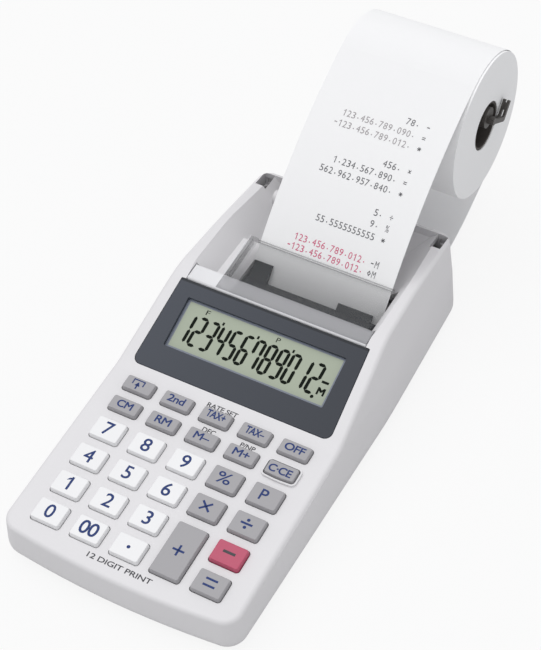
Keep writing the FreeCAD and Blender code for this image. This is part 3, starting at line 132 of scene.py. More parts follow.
class CalculatorFinish(bpy.types.PropertyGroup):
    """Colours and surface of the plastic pieces."""

    case: colour("Case", "Off-white plastic of the case", (0.73, 0.72, 0.735))
    white_key: colour("White key", "Plastic of the number keys", (0.83, 0.83, 0.84))
    grey_key: colour("Grey key", "Plastic of the function keys", (0.352, 0.345, 0.36))
    red_key: colour("Red key", "Plastic of the minus key", (0.485, 0.072, 0.138))
    panel: colour("Panel", "Slate window round the display", (0.047, 0.053, 0.067))
    glass: colour("Display glass", "Green-grey face of the display", (0.352, 0.396, 0.305))
    slate: colour("Guide", "Dark cover over the print wheel", (0.040, 0.044, 0.048))
    holder: colour("Holder", "Dark plastic of the roll holder", (0.060, 0.054, 0.050))
    paper: colour("Paper", "White paper of the roll", (0.975, 0.975, 0.98))
    grain: length("Grain", "Size of the fine grain of the case", 0.5)
    case_roughness: share("Case roughness", "Roughness of the case plastic", 0.42)
    key_roughness: share("Key roughness", "Roughness of the key plastic", 0.36)
    clear_alpha: share("Clear cover", "How much of the clear cover shows", 0.07)


class CalculatorLegends(bpy.types.PropertyGroup):
    """Sizes and inks of the lettering on the keys and the deck."""

    ink: colour("Ink", "Blue ink of the key lettering", (0.014, 0.036, 0.15))
    dark_ink: colour("Dark ink", "Grey ink of the deck and minus key", (0.055, 0.055, 0.062))
    digit_height: length("Digit height", "Height of a number on its key", 5.7)
    sign_size: length("Sign size", "Width of an arithmetic sign", 4.7)
    sign_stroke: length("Sign stroke", "Stroke of an arithmetic sign", 0.85)
    small_height: length("Small height", "Height of the lettering on the small keys", 3.25)
    deck_height: length("Deck height", "Height of the lettering on the deck", 2.15)
    lift: length("Lift", "Height of the ink over the plastic", INK_LIFT / MM)


class CalculatorDisplay(bpy.types.PropertyGroup):
    """Sizes of the display's segments."""

    digit_height: length("Digit height", "Height of a display digit", 13.15)
    digit_width: length("Digit width", "Width of a display digit between its strokes' middles", 3.07)
    digit_pitch: length("Digit pitch", "Distance from digit to digit", 5.06)
    stroke: length("Stroke", "Width of a segment", 1.5)
    slant: turn("Slant", "Lean of the digits", 2.5)
    first_x: length("First digit", "Place of the first digit's foot from the middle", -29.95)
    foot_v: length("Foot", "Height of the digits' feet on the panel", 14.0)
    segment: colour("Segment", "Black of the digits", (0.005, 0.008, 0.005))
    mark: colour("Mark", "Black of the small marks", (0.008, 0.01, 0.007))


class CalculatorTape(bpy.types.PropertyGroup):
    """Sizes and inks of the printed rows on the tape."""

    cell: length("Cell", "Distance from figure to figure", 1.96)
    figure_height: length("Figure height", "Height of a printed figure", 2.7)
    figure_width: length("Figure width", "Width of a printed figure", 1.5)
    thin: length("Thin", "Stroke of a printed sign", 0.34)
    point_x: length("Last point", "Place of the last point across the tape", 20.7)
    sign_x: length("Sign", "Place of the sign after the figures", 25.2)
    grey: colour("Grey ink", "Ink of the dark rows", (0.13, 0.13, 0.14))
    faint: colour("Faint ink", "Ink of the faint rows", (0.34, 0.32, 0.33))
    red: colour("Red ink", "Ink of the red rows", (0.58, 0.09, 0.19))


class CalculatorStage(bpy.types.PropertyGroup):
    """Floor, lamps and camera."""

    floor: colour("Floor", "Plain pale floor", (0.68, 0.68, 0.68))
    lightness: share("Lightness", "How far the floor's shadow is lightened to the camera", 0.87)
    sky: amount("Sky", "Strength of the even light all round", 0.68)
    sun: amount("Sun", "Strength of the wide soft lamp", 1.25)
    sun_width: turn("Sun width", "Angle that the soft lamp fills", 60)
    sun_from: FloatVectorProperty(
        name="Sun from", description="Where the lamp's light comes from", default=(-0.24, 0.0, 0.97)
    )
    azimuth: turn("Azimuth", "Camera's turn round the object", 31.11)
    elevation: turn("Elevation", "Camera's height", 47.505)
    roll: turn("Roll", "Camera's lean", -2.836)
    distance: length("Distance", "From the camera to its target", 718.19)
    lens: FloatProperty(name="Lens", description="Focal length in millimetres", default=101.79, min=1)
    sensor: FloatProperty(name="Sensor", description="Sensor's height in millimetres", default=36, min=1)
    target: FloatVectorProperty(
        name="Target",
        description="Point that the camera looks at",
        default=(-0.007533, -0.000617, 0.020),
        subtype="XYZ",
    )


class CalculatorSettings(bpy.types.PropertyGroup):
    """Everything that can be set."""

    finish: PointerProperty(type=CalculatorFinish)
    legends: PointerProperty(type=CalculatorLegends)
    display: PointerProperty(type=CalculatorDisplay)
    tape: PointerProperty(type=CalculatorTape)
    stage: PointerProperty(type=CalculatorStage)


def settings():
    return bpy.context.scene.calculator


# Shaders
class Value:
    """An output of a shader node that takes part in sums."""

    def __init__(self, graph, socket):
        self.graph = graph
        self.socket = socket

    def sum(self, operation, *parts):
        return self.graph.node("ShaderNodeMath", {"operation": operation}, dict(enumerate(parts)))["Value"]

    def __add__(self, other):
        return self.sum("ADD", self, other)

    def __radd__(self, other):
        return self.sum("ADD", other, self)

    def __sub__(self, other):
        return self.sum("SUBTRACT", self, other)

    def __rsub__(self, other):
        return self.sum("SUBTRACT", other, self)

    def __mul__(self, other):
        return self.sum("MULTIPLY", self, other)

    def __rmul__(self, other):
        return self.sum("MULTIPLY", other, self)

    def __truediv__(self, other):
        return self.sum("DIVIDE", self, other)

    def __gt__(self, other):
        return self.sum("GREATER_THAN", self, other)

    def __lt__(self, other):
        return self.sum("LESS_THAN", self, other)

    def __abs__(self):
        return self.sum("ABSOLUTE", self)

    def root(self):
        return self.sum("SQRT", self)

    def clamped(self):
        return self.graph.node("ShaderNodeClamp", {}, {"Value": self})["Result"]


class Node:
    """A shader node whose outputs are read as values."""

    def __init__(self, graph, node):
        self.graph = graph
        self.node = node

    def __getitem__(self, name):
        return Value(self.graph, self.node.outputs[name])


class Graph:
    """One material and its nodes."""

    def __init__(self, name):
        self.material = bpy.data.materials.new(name)
        self.material.use_nodes = True
        self.tree = self.material.node_tree
        self.tree.nodes.clear()
        self.output = self.node("ShaderNodeOutputMaterial")
        self.shader = self.node("ShaderNodeBsdfPrincipled")
        self.feed(self.output.node.inputs["Surface"], self.shader["BSDF"])

    def node(self, kind, choices=None, inputs=None):
        made = self.tree.nodes.new(kind)
        for name, choice in (choices or {}).items():
            setattr(made, name, choice)
        for name, value in (inputs or {}).items():
            self.feed(made.inputs[name], value)
        return Node(self, made)

    def feed(self, socket, value):
        if isinstance(value, Value):
            self.tree.links.new(value.socket, socket)
        elif socket.type == "RGBA" and len(value) == 3:
            socket.default_value = (*value, 1.0)
        else:
            socket.default_value = value

    def set(self, **inputs):
        for name, value in inputs.items():
            self.feed(self.shader.node.inputs[name.replace("_", " ")], value)

    def place(self):
        return self.node("ShaderNodeTexCoord")["Object"]

    def axes(self, vector):
        split = self.node("ShaderNodeSeparateXYZ", {}, {"Vector": vector})
        return split["X"], split["Y"], split["Z"]

    def noise(self, size, detail=3.0, vector=None):
        inputs = {"Vector": vector or self.place(), "Scale": 1.0 / size, "Detail": detail}
        return self.node("ShaderNodeTexNoise", {}, inputs)["Fac"]

    def mix(self, factor, first, second):
        made = self.node("ShaderNodeMix", {"data_type": "RGBA"})
        self.feed(made.node.inputs[0], factor)
        self.feed(made.node.inputs[6], first)
        self.feed(made.node.inputs[7], second)
        return Value(self, made.node.outputs[2])

    def blend_shader(self, factor, second):
        """Mixes another shader into the surface by this factor."""
        made = self.node("ShaderNodeMixShader", {}, {0: factor, 1: self.shader["BSDF"], 2: second})
        self.feed(self.output.node.inputs["Surface"], made["Shader"])

    def bump(self, height, strength, distance):
        inputs = {"Height": height, "Strength": strength, "Distance": distance}
        return self.node("ShaderNodeBump", {}, inputs)["Normal"]


def scaled(base, factor):
    """A colour made lighter or darker."""
    return tuple(c * factor for c in base)


def on_panel(y, z):
    """How far up the display panel a point lies."""
    return (y - PANEL_Y) * math.cos(PANEL_SLOPE) + (z - PANEL_Z) * math.sin(PANEL_SLOPE)


def plastic(name, base, roughness, grain, strength=0.12, shine=0.5):
    """Moulded plastic with a fine grain and faint shifts of tone."""
    graph = Graph(name)
    tone = graph.noise(18 * MM, 2.0)
    graph.set(Base_Color=graph.mix(tone, base, scaled(base, 0.975)), IOR=1.46)
    graph.set(Roughness=roughness + (tone - 0.5) * 0.08, Specular_IOR_Level=shine)
    graph.set(Normal=graph.bump(graph.noise(grain), strength, 0.03 * MM))
    return graph.material


def ink(name, base, shine=0.3):
    """Flat printing ink."""
    graph = Graph(name)
    tone = graph.noise(0.4 * MM)
    worn = tuple(min(1.0, c * 1.15 + 0.002) for c in base)
    graph.set(Base_Color=graph.mix(tone, base, worn), Roughness=0.55, Specular_IOR_Level=shine)
    return graph.material


def metal(name, base, roughness):
    """Drawn or plated metal."""
    graph = Graph(name)
    tone = graph.noise(0.8 * MM)
    graph.set(Base_Color=base, Metallic=1.0, Roughness=roughness + (tone - 0.5) * 0.1)
    return graph.material


def paper(name, base, through=0.0):
    """Paper with fine fibres, and rings at the roll's ends; a share of the light passes through."""
    graph = Graph(name)
    x, y, z = graph.axes(graph.place())
    fibre = graph.noise(0.35 * MM, 4.0)
    radius = ((y - ROLL_Y) * (y - ROLL_Y) + (z - ROLL_Z) * (z - ROLL_Z)).root()
    inputs = {"W": radius * 1400.0, "Detail": 4.0}
    rings = graph.node("ShaderNodeTexNoise", {"noise_dimensions": "1D"}, inputs)["Fac"]
    across, along, up = graph.axes(graph.node("ShaderNodeNewGeometry")["Normal"])
    end = abs(across) > 0.9
    darker = (fibre * 0.03 + end * (rings * 0.16 + 0.02)).clamped()
    graph.set(Base_Color=graph.mix(darker, base, (0.32, 0.33, 0.36)), Roughness=0.82)
    graph.set(Specular_IOR_Level=0.25)
    graph.set(Normal=graph.bump(fibre, 0.08, 0.02 * MM))
    if through:
        web = (y > WEB_Y) * (z < WEB_Z)
        web_through = 0.85
        light = graph.node("ShaderNodeBsdfTranslucent", {}, {"Color": base})
        graph.blend_shader(web * (web_through - through) + through, light["BSDF"])
    return graph.material


def panel_plastic(name, base):
    """The slate window, with painted light making it a little paler to the left, and a painted shade line
    along its top where the gap to the case lies.
    """
    graph = Graph(name)
    x, y, z = graph.axes(graph.place())
    across = (x / PANEL_WIDTH + 0.5).clamped()
    # Painted light: the panel is lightened towards the left, where the light comes from, and darkened to the
    # right
    tone = graph.mix(across, scaled(base, 1.2), scaled(base, 0.82))
    # Painted shade: a dark line along the panel's top, where the gap to the case lies in shadow
    gap_shade = (on_panel(y, z) > PANEL_EDGE) * 0.7
    graph.set(Base_Color=graph.mix(gap_shade, tone, scaled(base, 0.2)))
    graph.set(Roughness=0.30 + across * 0.04, Specular_IOR_Level=0.2)
    return graph.material


def display_face(name, base, border):
    """The face of the display, with a printed border outside its visible area; the border's colour comes in
    lightened, painted light against the shade of the opening's walls.
    """
    graph = Graph(name)
    x, y, z = graph.axes(graph.place())
    up = on_panel(y, z)
    outside = ((abs(x) > VIEW_HALF) + (up < VIEW_LOW) + (up > VIEW_HIGH)).clamped()
    tone = graph.noise(12 * MM, 2.0)
    face = graph.mix(tone, base, scaled(base, 0.96))
    graph.set(Base_Color=graph.mix(outside, face, border), Roughness=0.42 + (tone - 0.5) * 0.06)
    return graph.material


def clear_plastic(name, alpha):
    """Clear moulded plastic, a little smoky, that shows more at its flange and tear line, with painted
    highlights on its nose and left wall, and painted shade that thickens towards the front and over the left
    ledge.
    """
    graph = Graph(name)
    x, y, z = graph.axes(graph.place())
    flange = y < CLEAR_FLANGE_Y
    # Painted shade: over the left ledge the cover is made more opaque in its dark tint, to darken the ledge
    # below as if in shadow
    side = (x < CLEAR_SIDE_X) * (y > CLEAR_FLANGE_Y)
    nose = y < CLEAR_NOSE_Y
    wall = (x < CLEAR_LEFT_X) * (z > CLEAR_WALL_Z)
    teeth = y > CLEAR_TEAR_Y
    tear = (y > CLEAR_TEAR_Y - CLEAR_TEAR_BAND) * (y < CLEAR_TEAR_Y) * (x > CLEAR_SIDE_X)
    # Painted highlights: the nose and the top of the left wall are painted white and made more opaque to
    # stand for bright glints
    pale = (nose + wall).clamped()
    # The dark tint carries the cover's smoky colour and its painted shade; the white carries its painted
    # highlights
    smoke_and_shade, milk, white = (0.045, 0.047, 0.052), (0.46, 0.46, 0.48), (0.80, 0.80, 0.82)
    tone = graph.mix(pale, graph.mix(flange, smoke_and_shade, milk), white)
    graph.set(Base_Color=tone, Roughness=0.12, IOR=1.49)
    # Painted shade: the cover grows darker and more opaque from the tear line to the flange, to darken the
    # paper under it as if in shadow
    painted_shade_ramp = ((CLEAR_TEAR_Y - y) / (CLEAR_TEAR_Y - CLEAR_FLANGE_Y)).clamped()
    shown = alpha + painted_shade_ramp * 0.22 + flange * 0.22 + side * 0.12 + pale * 0.35 + tear * 0.4 - teeth * 0.04
    graph.set(Alpha=shown.clamped())
    return graph.material


# Shared steps
def only(*objects):
    """Selects these objects and no other, the last one active."""
    if bpy.context.mode != "OBJECT":
        bpy.ops.object.mode_set(mode="OBJECT")
    bpy.ops.object.select_all(action="DESELECT")
    for one in objects:
        one.select_set(True)
        bpy.context.view_layer.objects.active = one
    return objects[-1]


def settle(one, matrix):
    """Puts a place into the mesh, so that the object stays at the origin."""
    only(one)
    one.matrix_world = matrix
    bpy.ops.object.transform_apply(location=True, rotation=True, scale=True)
    return one


def joined(name, parts, material):
    """One named object from several meshes."""
    one = merged(parts)
    one.name = name
    one.data.name = name
    one.data.materials.clear()
    one.data.materials.append(material)
    return one


def twin(one):
    """A copy with its own mesh."""
    only(one)
    bpy.ops.object.duplicate(linked=False)
    return bpy.context.view_layer.objects.active


def discard(one):
    """Deletes an object."""
    only(one)
    bpy.ops.object.delete()


def seat(y, z, slope, lift=0.0, x=0.0):
    """A place on a sloping face: x to the right, y up the slope, z out of the face."""
    out = Vector((0, -math.sin(slope), math.cos(slope))) * lift
    return Matrix.Translation(Vector((x, y, z)) + out) @ Matrix.Rotation(slope, 4, "X")


def words(text, height, weight=0.0, width=None, spacing=1.0):
    """Flat lettering round the origin, scaled to a height and, if given, a width.

    The weight widens every stroke: copies are set off to its corners, each a hair over the last.
    """
    bpy.ops.object.select_all(action="DESELECT")
    bpy.ops.object.text_add()
    one = bpy.context.view_layer.objects.active
    one.data.body = text
    one.data.align_x = "CENTER"
    one.data.align_y = "CENTER"
    one.data.resolution_u = 4
    one.data.space_character = spacing
    bpy.ops.object.convert(target="MESH")
    one = bpy.context.view_layer.objects.active
    lows = [min(v.co[i] for v in one.data.vertices) for i in (0, 1)]
    highs = [max(v.co[i] for v in one.data.vertices) for i in (0, 1)]
    scale_y = (height - weight) / (highs[1] - lows[1])
    scale_x = (width - weight) / (highs[0] - lows[0]) if width else scale_y
    middle = Vector(((lows[0] + highs[0]) / 2, (lows[1] + highs[1]) / 2, 0))
    settle(one, Matrix.Diagonal((scale_x, scale_y, 1, 1)) @ Matrix.Translation(-middle))
    if not weight:
        return one
    copies = []
    for step, (x, y) in enumerate(((-1, -1), (1, -1), (-1, 1), (1, 1))):
        place = Matrix.Translation((x * weight / 2, y * weight / 2, step * HAIR))
        copies.append(settle(twin(one), place))
    discard(one)
    return merged(copies)


def bar(wide, high, x=0.0, y=0.0, turned=0.0):
    """A flat rectangle of ink."""
    bpy.ops.object.select_all(action="DESELECT")
    bpy.ops.mesh.primitive_plane_add(size=1)
    one = bpy.context.view_layer.objects.active
    shape = Matrix.Rotation(turned, 4, "Z") @ Matrix.Diagonal((wide, high, 1, 1))
    return settle(one, Matrix.Translation((x, y, 0)) @ shape)


def disc(radius, x=0.0, y=0.0, corners=24, stretch=1.0):
    """A flat round or many-sided spot of ink."""
    bpy.ops.object.select_all(action="DESELECT")
    bpy.ops.mesh.primitive_circle_add(vertices=corners, radius=radius, fill_type="NGON")
    one = bpy.context.view_layer.objects.active
    return settle(one, Matrix.Translation((x, y, 0)) @ Matrix.Diagonal((1, stretch, 1, 1)))


def merged(parts):
    """One mesh from several."""
    one = only(*parts)
    if len(parts) > 1:
        bpy.ops.object.join()
    return one


def leant(one, tangent):
    """Leans a flat shape to the right of its foot line."""
    for v in one.data.vertices:
        v.co.x += v.co.y * tangent
    return one


def figure_one(high, stroke):
    """A figure 1 with a short flag, round the origin."""
    flag = leant(bar(high * 0.24, stroke * 0.9), 0.9)
    settle(flag, Matrix.Translation((-high * 0.08 - stroke * 0.2, high * 0.36, 0)))
    for v in flag.data.vertices:
        v.co.y += v.co.x * 0.45
    return merged([flag, bar(stroke, high, stroke * 0.35)])


def top_face(node, slope):
    """Middle of a CAD node's highest face on a slope, as a place."""
    out = Vector((0, -math.sin(slope), math.cos(slope)))
    corners = [v.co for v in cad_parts[node].data.vertices]
    top = max(c.dot(out) for c in corners)
    face = [c for c in corners if c.dot(out) > top - 0.02 * MM]
    lows = [min(c[i] for c in face) for i in range(3)]
    highs = [max(c[i] for c in face) for i in range(3)]
    return [(a + b) / 2 for a, b in zip(lows, highs)]


def repaint(finishes):
    """Puts a finish into every material slot of the CAD nodes."""
    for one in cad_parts.values():
        for slot in one.material_slots:
            base = slot.material.name.split(".")[0]
            if base not in finishes:
                raise RuntimeError("no finish for material slot " + base)
            slot.material = finishes[base]


# Plastics and rubbers without a setting of their own: colour, roughness and strength of the grain
PLAIN_FINISHES = {
    "inner_grey": ((0.24, 0.25, 0.26), 0.5, 0.12),
    "inner_black": ((0.02, 0.02, 0.021), 0.5, 0.12),
    "keypad_rubber": ((0.30, 0.31, 0.33), 0.7, 0.12),
    "board_green": ((0.03, 0.14, 0.07), 0.4, 0.12),
    "gear_nylon": ((0.72, 0.70, 0.64), 0.45, 0.12),
    "wheel_rubber": ((0.03, 0.03, 0.032), 0.75, 0.12),
    "foot_rubber": ((0.16, 0.16, 0.165), 0.8, 0.12),
    "ink_foam": ((0.05, 0.03, 0.08), 0.9, 0.5),
    "core_card": ((0.075, 0.066, 0.060), 0.7, 0.2),
    "cell_jacket": ((0.10, 0.12, 0.16), 0.3, 0.0),
}

# Metals: colour and roughness
METAL_FINISHES = {
    "frame_steel": ((0.55, 0.56, 0.58), 0.35),
    "rod_steel": ((0.62, 0.62, 0.63), 0.22),
    "motor_steel": ((0.50, 0.50, 0.50), 0.30),
}


class CALCULATOR_OT_finishes(bpy.types.Operator):
    """Paint every CAD piece with its plastic, paper, rubber or metal"""

    bl_idname = "calculator.finishes"
    bl_label = "Finishes"

    def execute(self, context):
        f = settings().finish
        # Painted light: the display's printed border is made four times as light as the panel, to offset the
        # shade that the opening's walls cast on it
        border = scaled(f.panel, 4.0)
        key_grain = 0.06
        finishes = {
            "case_white": plastic("case_white_finish", tuple(f.case), f.case_roughness, f.grain),
            "holder_grey": plastic("holder_grey_finish", tuple(f.holder), 0.45, f.grain),
            "guide_slate": plastic("guide_slate_finish", tuple(f.slate), 0.40, f.grain, 0.1, 0.3),
            "panel_slate": panel_plastic("panel_slate_finish", tuple(f.panel)),
            "display_glass": display_face("display_glass_finish", tuple(f.glass), border),
            "clear_cover": clear_plastic("clear_cover_finish", f.clear_alpha),
            "paper_white": paper("paper_white_finish", tuple(f.paper)),
        }
        for name, tint in (("key_white", f.white_key), ("key_grey", f.grey_key), ("key_red", f.red_key)):
            finishes[name] = plastic(name + "_finish", tuple(tint), f.key_roughness, f.grain, key_grain)
        for name, (tint, roughness, strength) in PLAIN_FINISHES.items():
            finishes[name] = plastic(name + "_finish", tint, roughness, f.grain, strength)
        for name, (tint, roughness) in METAL_FINISHES.items():
            finishes[name] = metal(name + "_finish", tint, roughness)
        repaint(finishes)
        return {"FINISHED"}


# Key, its word, the word's width and its place from the key's middle, in millimetres
KEY_WORDS = [
    ("key_second", "2nd", 7.1, -0.35, 0.35),
    ("key_tax_plus", "TAX+", 7.9, 0.0, 0.5),
    ("key_tax_minus", "TAX–", 7.8, 0.0, 0.3),
    ("key_off", "OFF", 8.2, 0.0, 0.2),
    ("key_memory_clear", "CM", 6.5, 0.0, 0.2),
    ("key_memory_recall", "RM", 6.4, 0.0, 0.2),
    ("key_memory_minus", "M–", 6.4, 0.0, 0.2),
    ("key_memory_plus", "M+", 6.7, 0.0, 0.2),
    ("key_clear", "C·CE", 9.3, -0.35, -0.1),
]

# Object, its words on the deck, their place across and up the deck and their width, in millimetres
DECK_WORDS = [
    ("deck_front_words", "12 DIGIT PRINT", 0.8, -29.5, 26.5),
    ("deck_rate_set", "RATE SET", 0.1, 45.1, 12.9),
    ("deck_dec", "DEC", 0.3, 34.6, 5.4),
    ("deck_print_mode", "P/NP", 16.7, 34.7, 6.1),
]


class CALCULATOR_OT_legends(bpy.types.Operator):
    """Print the numbers, signs and words on the keys and the deck"""

    bl_idname = "calculator.legends"
    bl_label = "Legends"

    def execute(self, context):
        s = settings().legends
        blue = ink("legend_ink", tuple(s.ink))
        dark = ink("dark_ink", tuple(s.dark_ink))

        def on_key(node, one, x=0.0, up=0.0, material=blue):
            middle, y, z = top_face(node, DECK_SLOPE)
            settle(one, seat(y, z, DECK_SLOPE, s.lift, middle) @ Matrix.Translation((x * MM, up * MM, 0)))
            joined(node.replace("key_", "legend_"), [one], material)
            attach(one, node + "_body")

        size = s.sign_size
        stroke = s.sign_stroke
        for number in (0, 2, 3, 4, 5, 6, 7, 8, 9):
            on_key("key_%d" % number, words(str(number), s.digit_height, NUMBER_WEIGHT), 0, 0.25)
        on_key("key_1", figure_one(s.digit_height, 0.95 * MM), -0.2, 0.25)
        on_key("key_double_zero", words("00", s.digit_height, ZEROS_WEIGHT, 7.4 * MM, CLOSE), 0, 0.25)
        on_key("key_point", disc(0.7 * MM))
        for node, text, wide, x, up in KEY_WORDS:
            on_key(node, words(text, s.small_height, WORD_WEIGHT, wide * MM, CLOSE), x, up)
        on_key("key_percent", words("%", 4.9 * MM, 0.1 * MM, 5.6 * MM), -0.35, 0.2)
        on_key("key_print", words("P", 4.65 * MM, NUMBER_WEIGHT), -0.6, 0.2)
        cross = merged([bar(5.4 * MM, stroke, turned=a) for a in (0.74, -0.74)])
        on_key("key_multiply", cross, -0.35, 0.2)
        spots = [disc(0.65 * MM, y=side * 1.6 * MM) for side in (1, -1)]
        on_key("key_divide", merged([bar(size, stroke)] + spots), -0.35, 0.2)
        on_key("key_plus", merged([bar(size, stroke), bar(stroke, size * 0.97)]))
        on_key("key_minus", bar(4.9 * MM, 1.1 * MM), 0, 0.45, dark)
        rules = [bar(size, stroke, y=side * 1.3 * MM) for side in (1, -1)]
        on_key("key_equals", merged(rules), 0, 0.2)
        on_key("key_feed", self.feed_sign(), -0.55, 0)

        def on_deck(name, text, x, along, wide):
            y = DECK_Y + along * MM * math.cos(DECK_SLOPE)
            z = DECK_Z + along * MM * math.sin(DECK_SLOPE)
            one = words(text, s.deck_height, DECK_WEIGHT, wide * MM, 0.95)
            joined(name, [settle(one, seat(y, z, DECK_SLOPE, s.lift, x * MM))], dark)
            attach(one, "case")

        for name, text, x, along, wide in DECK_WORDS:
            on_deck(name, text, x, along, wide)
        return {"FINISHED"}

    def feed_sign(self):
        """The paper feed's sign: an arrow under a bracket."""
        line = 0.5 * MM
        half = 2.25 * MM
        parts = [
            bar(2 * half + line, line, y=1.9 * MM),
            bar(line, 2.2 * MM, -half, 0.8 * MM),
            bar(line, 2.2 * MM, half, 0.8 * MM),
            bar(0.6 * MM, 2.4 * MM, y=-0.95 * MM),
            disc(1.3 * MM, y=-0.1 * MM, corners=3),
        ]
        return merged(parts)


SEGMENTS = {
    "0": "abcdef",
    "1": "bc",
    "2": "abged",
    "3": "abgcd",
    "4": "fgbc",
    "5": "afgcd",
    "6": "afgecd",
    "7": "fabc",
    "8": "abcdefg",
    "9": "abcdfg",
}


class CALCULATOR_OT_display(bpy.types.Operator):
    """Set the figures and marks on the display glass"""

    bl_idname = "calculator.display"
    bl_label = "Display"

    def execute(self, context):
        s = settings().display
        dark = ink("segment_ink", tuple(s.segment), 0.05)
        faint = ink("mark_ink", tuple(s.mark), 0.05)
        half = (s.digit_height - s.stroke) / 2
        gap = 0.03 * MM

        def segment(long):
            """A six-sided bar along x."""
            one = disc(s.stroke / 2, corners=6)
            settle(one, Matrix.Rotation(math.radians(30), 4, "Z"))
            reach = long / 2 - gap - s.stroke / 2
            for v in one.data.vertices:
                tip = s.stroke / 2 if abs(v.co.y) < s.stroke * 0.1 else 0
                v.co.x = math.copysign(reach + tip, v.co.x)
            return one

        flat = segment(s.digit_width)
        upright = settle(segment(half), Matrix.Rotation(math.pi / 2, 4, "Z"))
        side = s.digit_width / 2
        places = {
            "a": (flat, 0, 2 * half),
            "g": (flat, 0, half),
            "d": (flat, 0, 0),
            "b": (upright, side, 1.5 * half),
            "f": (upright, -side, 1.5 * half),
            "c": (upright, side, 0.5 * half),
            "e": (upright, -side, 0.5 * half),
        }
        parts = []
        for index, figure in enumerate("123456789012"):
            for letter in SEGMENTS[figure]:
                source, x, y = places[letter]
                copy = twin(source)
                settle(copy, Matrix.Translation((index * s.digit_pitch + x, y + s.stroke / 2, 0)))
                parts.append(copy)
        for index in (2, 5, 8):
            mark = bar(0.85 * MM, 1.3 * MM, (index + 0.5) * s.digit_pitch, s.digit_height + 0.2 * MM)
            parts.append(mark)
        parts.append(disc(0.68 * MM, 11.46 * s.digit_pitch, -0.3 * MM))
        discard(flat)
        discard(upright)
        figures = leant(merged(parts), math.tan(s.slant))

        def on_glass(name, one, x, v, material=dark):
            y = PANEL_Y + v * math.cos(PANEL_SLOPE)
            z = PANEL_Z + v * math.sin(PANEL_SLOPE)
            settle(one, seat(y, z, PANEL_SLOPE, INK_LIFT - GLASS_DROP, x))
            joined(name, [one], material)
            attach(one, "case")

        on_glass("display_figures", figures, s.first_x, s.foot_v)
        on_glass("display_minus", bar(2.9 * MM, 1.0 * MM), 30.45 * MM, 20.5 * MM)
        on_glass("display_m_mark", words("M", 3.0 * MM, MARK_WEIGHT, 3.2 * MM), 30.4 * MM, 16.65 * MM)
        on_glass("display_f_mark", words("F", 2.0 * MM, width=1.7 * MM), -24.4 * MM, 29.2 * MM, faint)
        on_glass("display_p_mark", words("P", 2.0 * MM, width=1.6 * MM), 6.2 * MM, 29.2 * MM, faint)
        return {"FINISHED"}


class TapePath:
    """The middle line of the tape from its tear line up to the end of its wrap."""

    def __init__(self):
        self.along = (math.cos(SLOT_ANGLE), math.sin(SLOT_ANGLE))
        run = (TEAR_Z - SLOT_Z) / self.along[1]
        self.tear = (SLOT_Y + run * self.along[0], TEAR_Z)
        away = (self.tear[0] - ROLL_Y, self.tear[1] - ROLL_Z)
        inward = (self.along[1], -self.along[0])
        lean = away[0] * inward[0] + away[1] * inward[1]
        self.sweep = (WRAP_RADIUS**2 - away[0] ** 2 - away[1] ** 2) / (2 * (lean + WRAP_RADIUS))
        self.centre = (self.tear[0] + self.sweep * inward[0], self.tear[1] + self.sweep * inward[1])
        self.start = SLOT_ANGLE + math.pi / 2
        self.touch = math.atan2(ROLL_Z - self.centre[1], ROLL_Y - self.centre[0])
        self.free = self.sweep * (self.start - self.touch)

    def point(self, distance):
        """(y, z, slope) at a distance up the tape from the tear line."""
        if distance < 0:
            y = self.tear[0] + distance * self.along[0]
            return y, self.tear[1] + distance * self.along[1], SLOT_ANGLE
        if distance < self.free:
            angle = self.start - distance / self.sweep
            y = self.centre[0] + self.sweep * math.cos(angle)
            return y, self.centre[1] + self.sweep * math.sin(angle), angle - math.pi / 2
        angle = self.touch - (distance - self.free) / WRAP_RADIUS
        y = ROLL_Y + WRAP_RADIUS * math.cos(angle)
        return y, ROLL_Z + WRAP_RADIUS * math.sin(angle), angle - math.pi / 2


# Turns of the bars in the signs that are made of crossed bars
STARS = {"×": (0.9, -0.9), "*": (0.0, 1.05, -1.05)}

# Printed rows: millimetres up the tape from its tear line, figures, sign, and the inks of both
TAPE_ROWS = [
    (0.45, "−123·456·789·012·", "◊M", "red", "grey"),
    (4.4, "123·456·789·012·", "−M", "red", "grey"),
    (14.0, "55·5555555555", "*", "grey", "grey"),
    (18.7, "9·", "%", "grey", "grey"),
    (23.2, "5·", "÷", "grey", "grey"),
    (32.8, "562·962·957·840·", "*", "grey", "grey"),
    (37.45, "1·234·567·890·", "=", "grey", "grey"),
    (42.1, "456·", "×", "grey", "grey"),
    (51.6, "−123·456·789·012·", "*", "faint", "grey"),
    (56.1, "123·456·789·090·", "=", "faint", "grey"),
    (60.7, "78·", "−", "grey", "grey"),
]


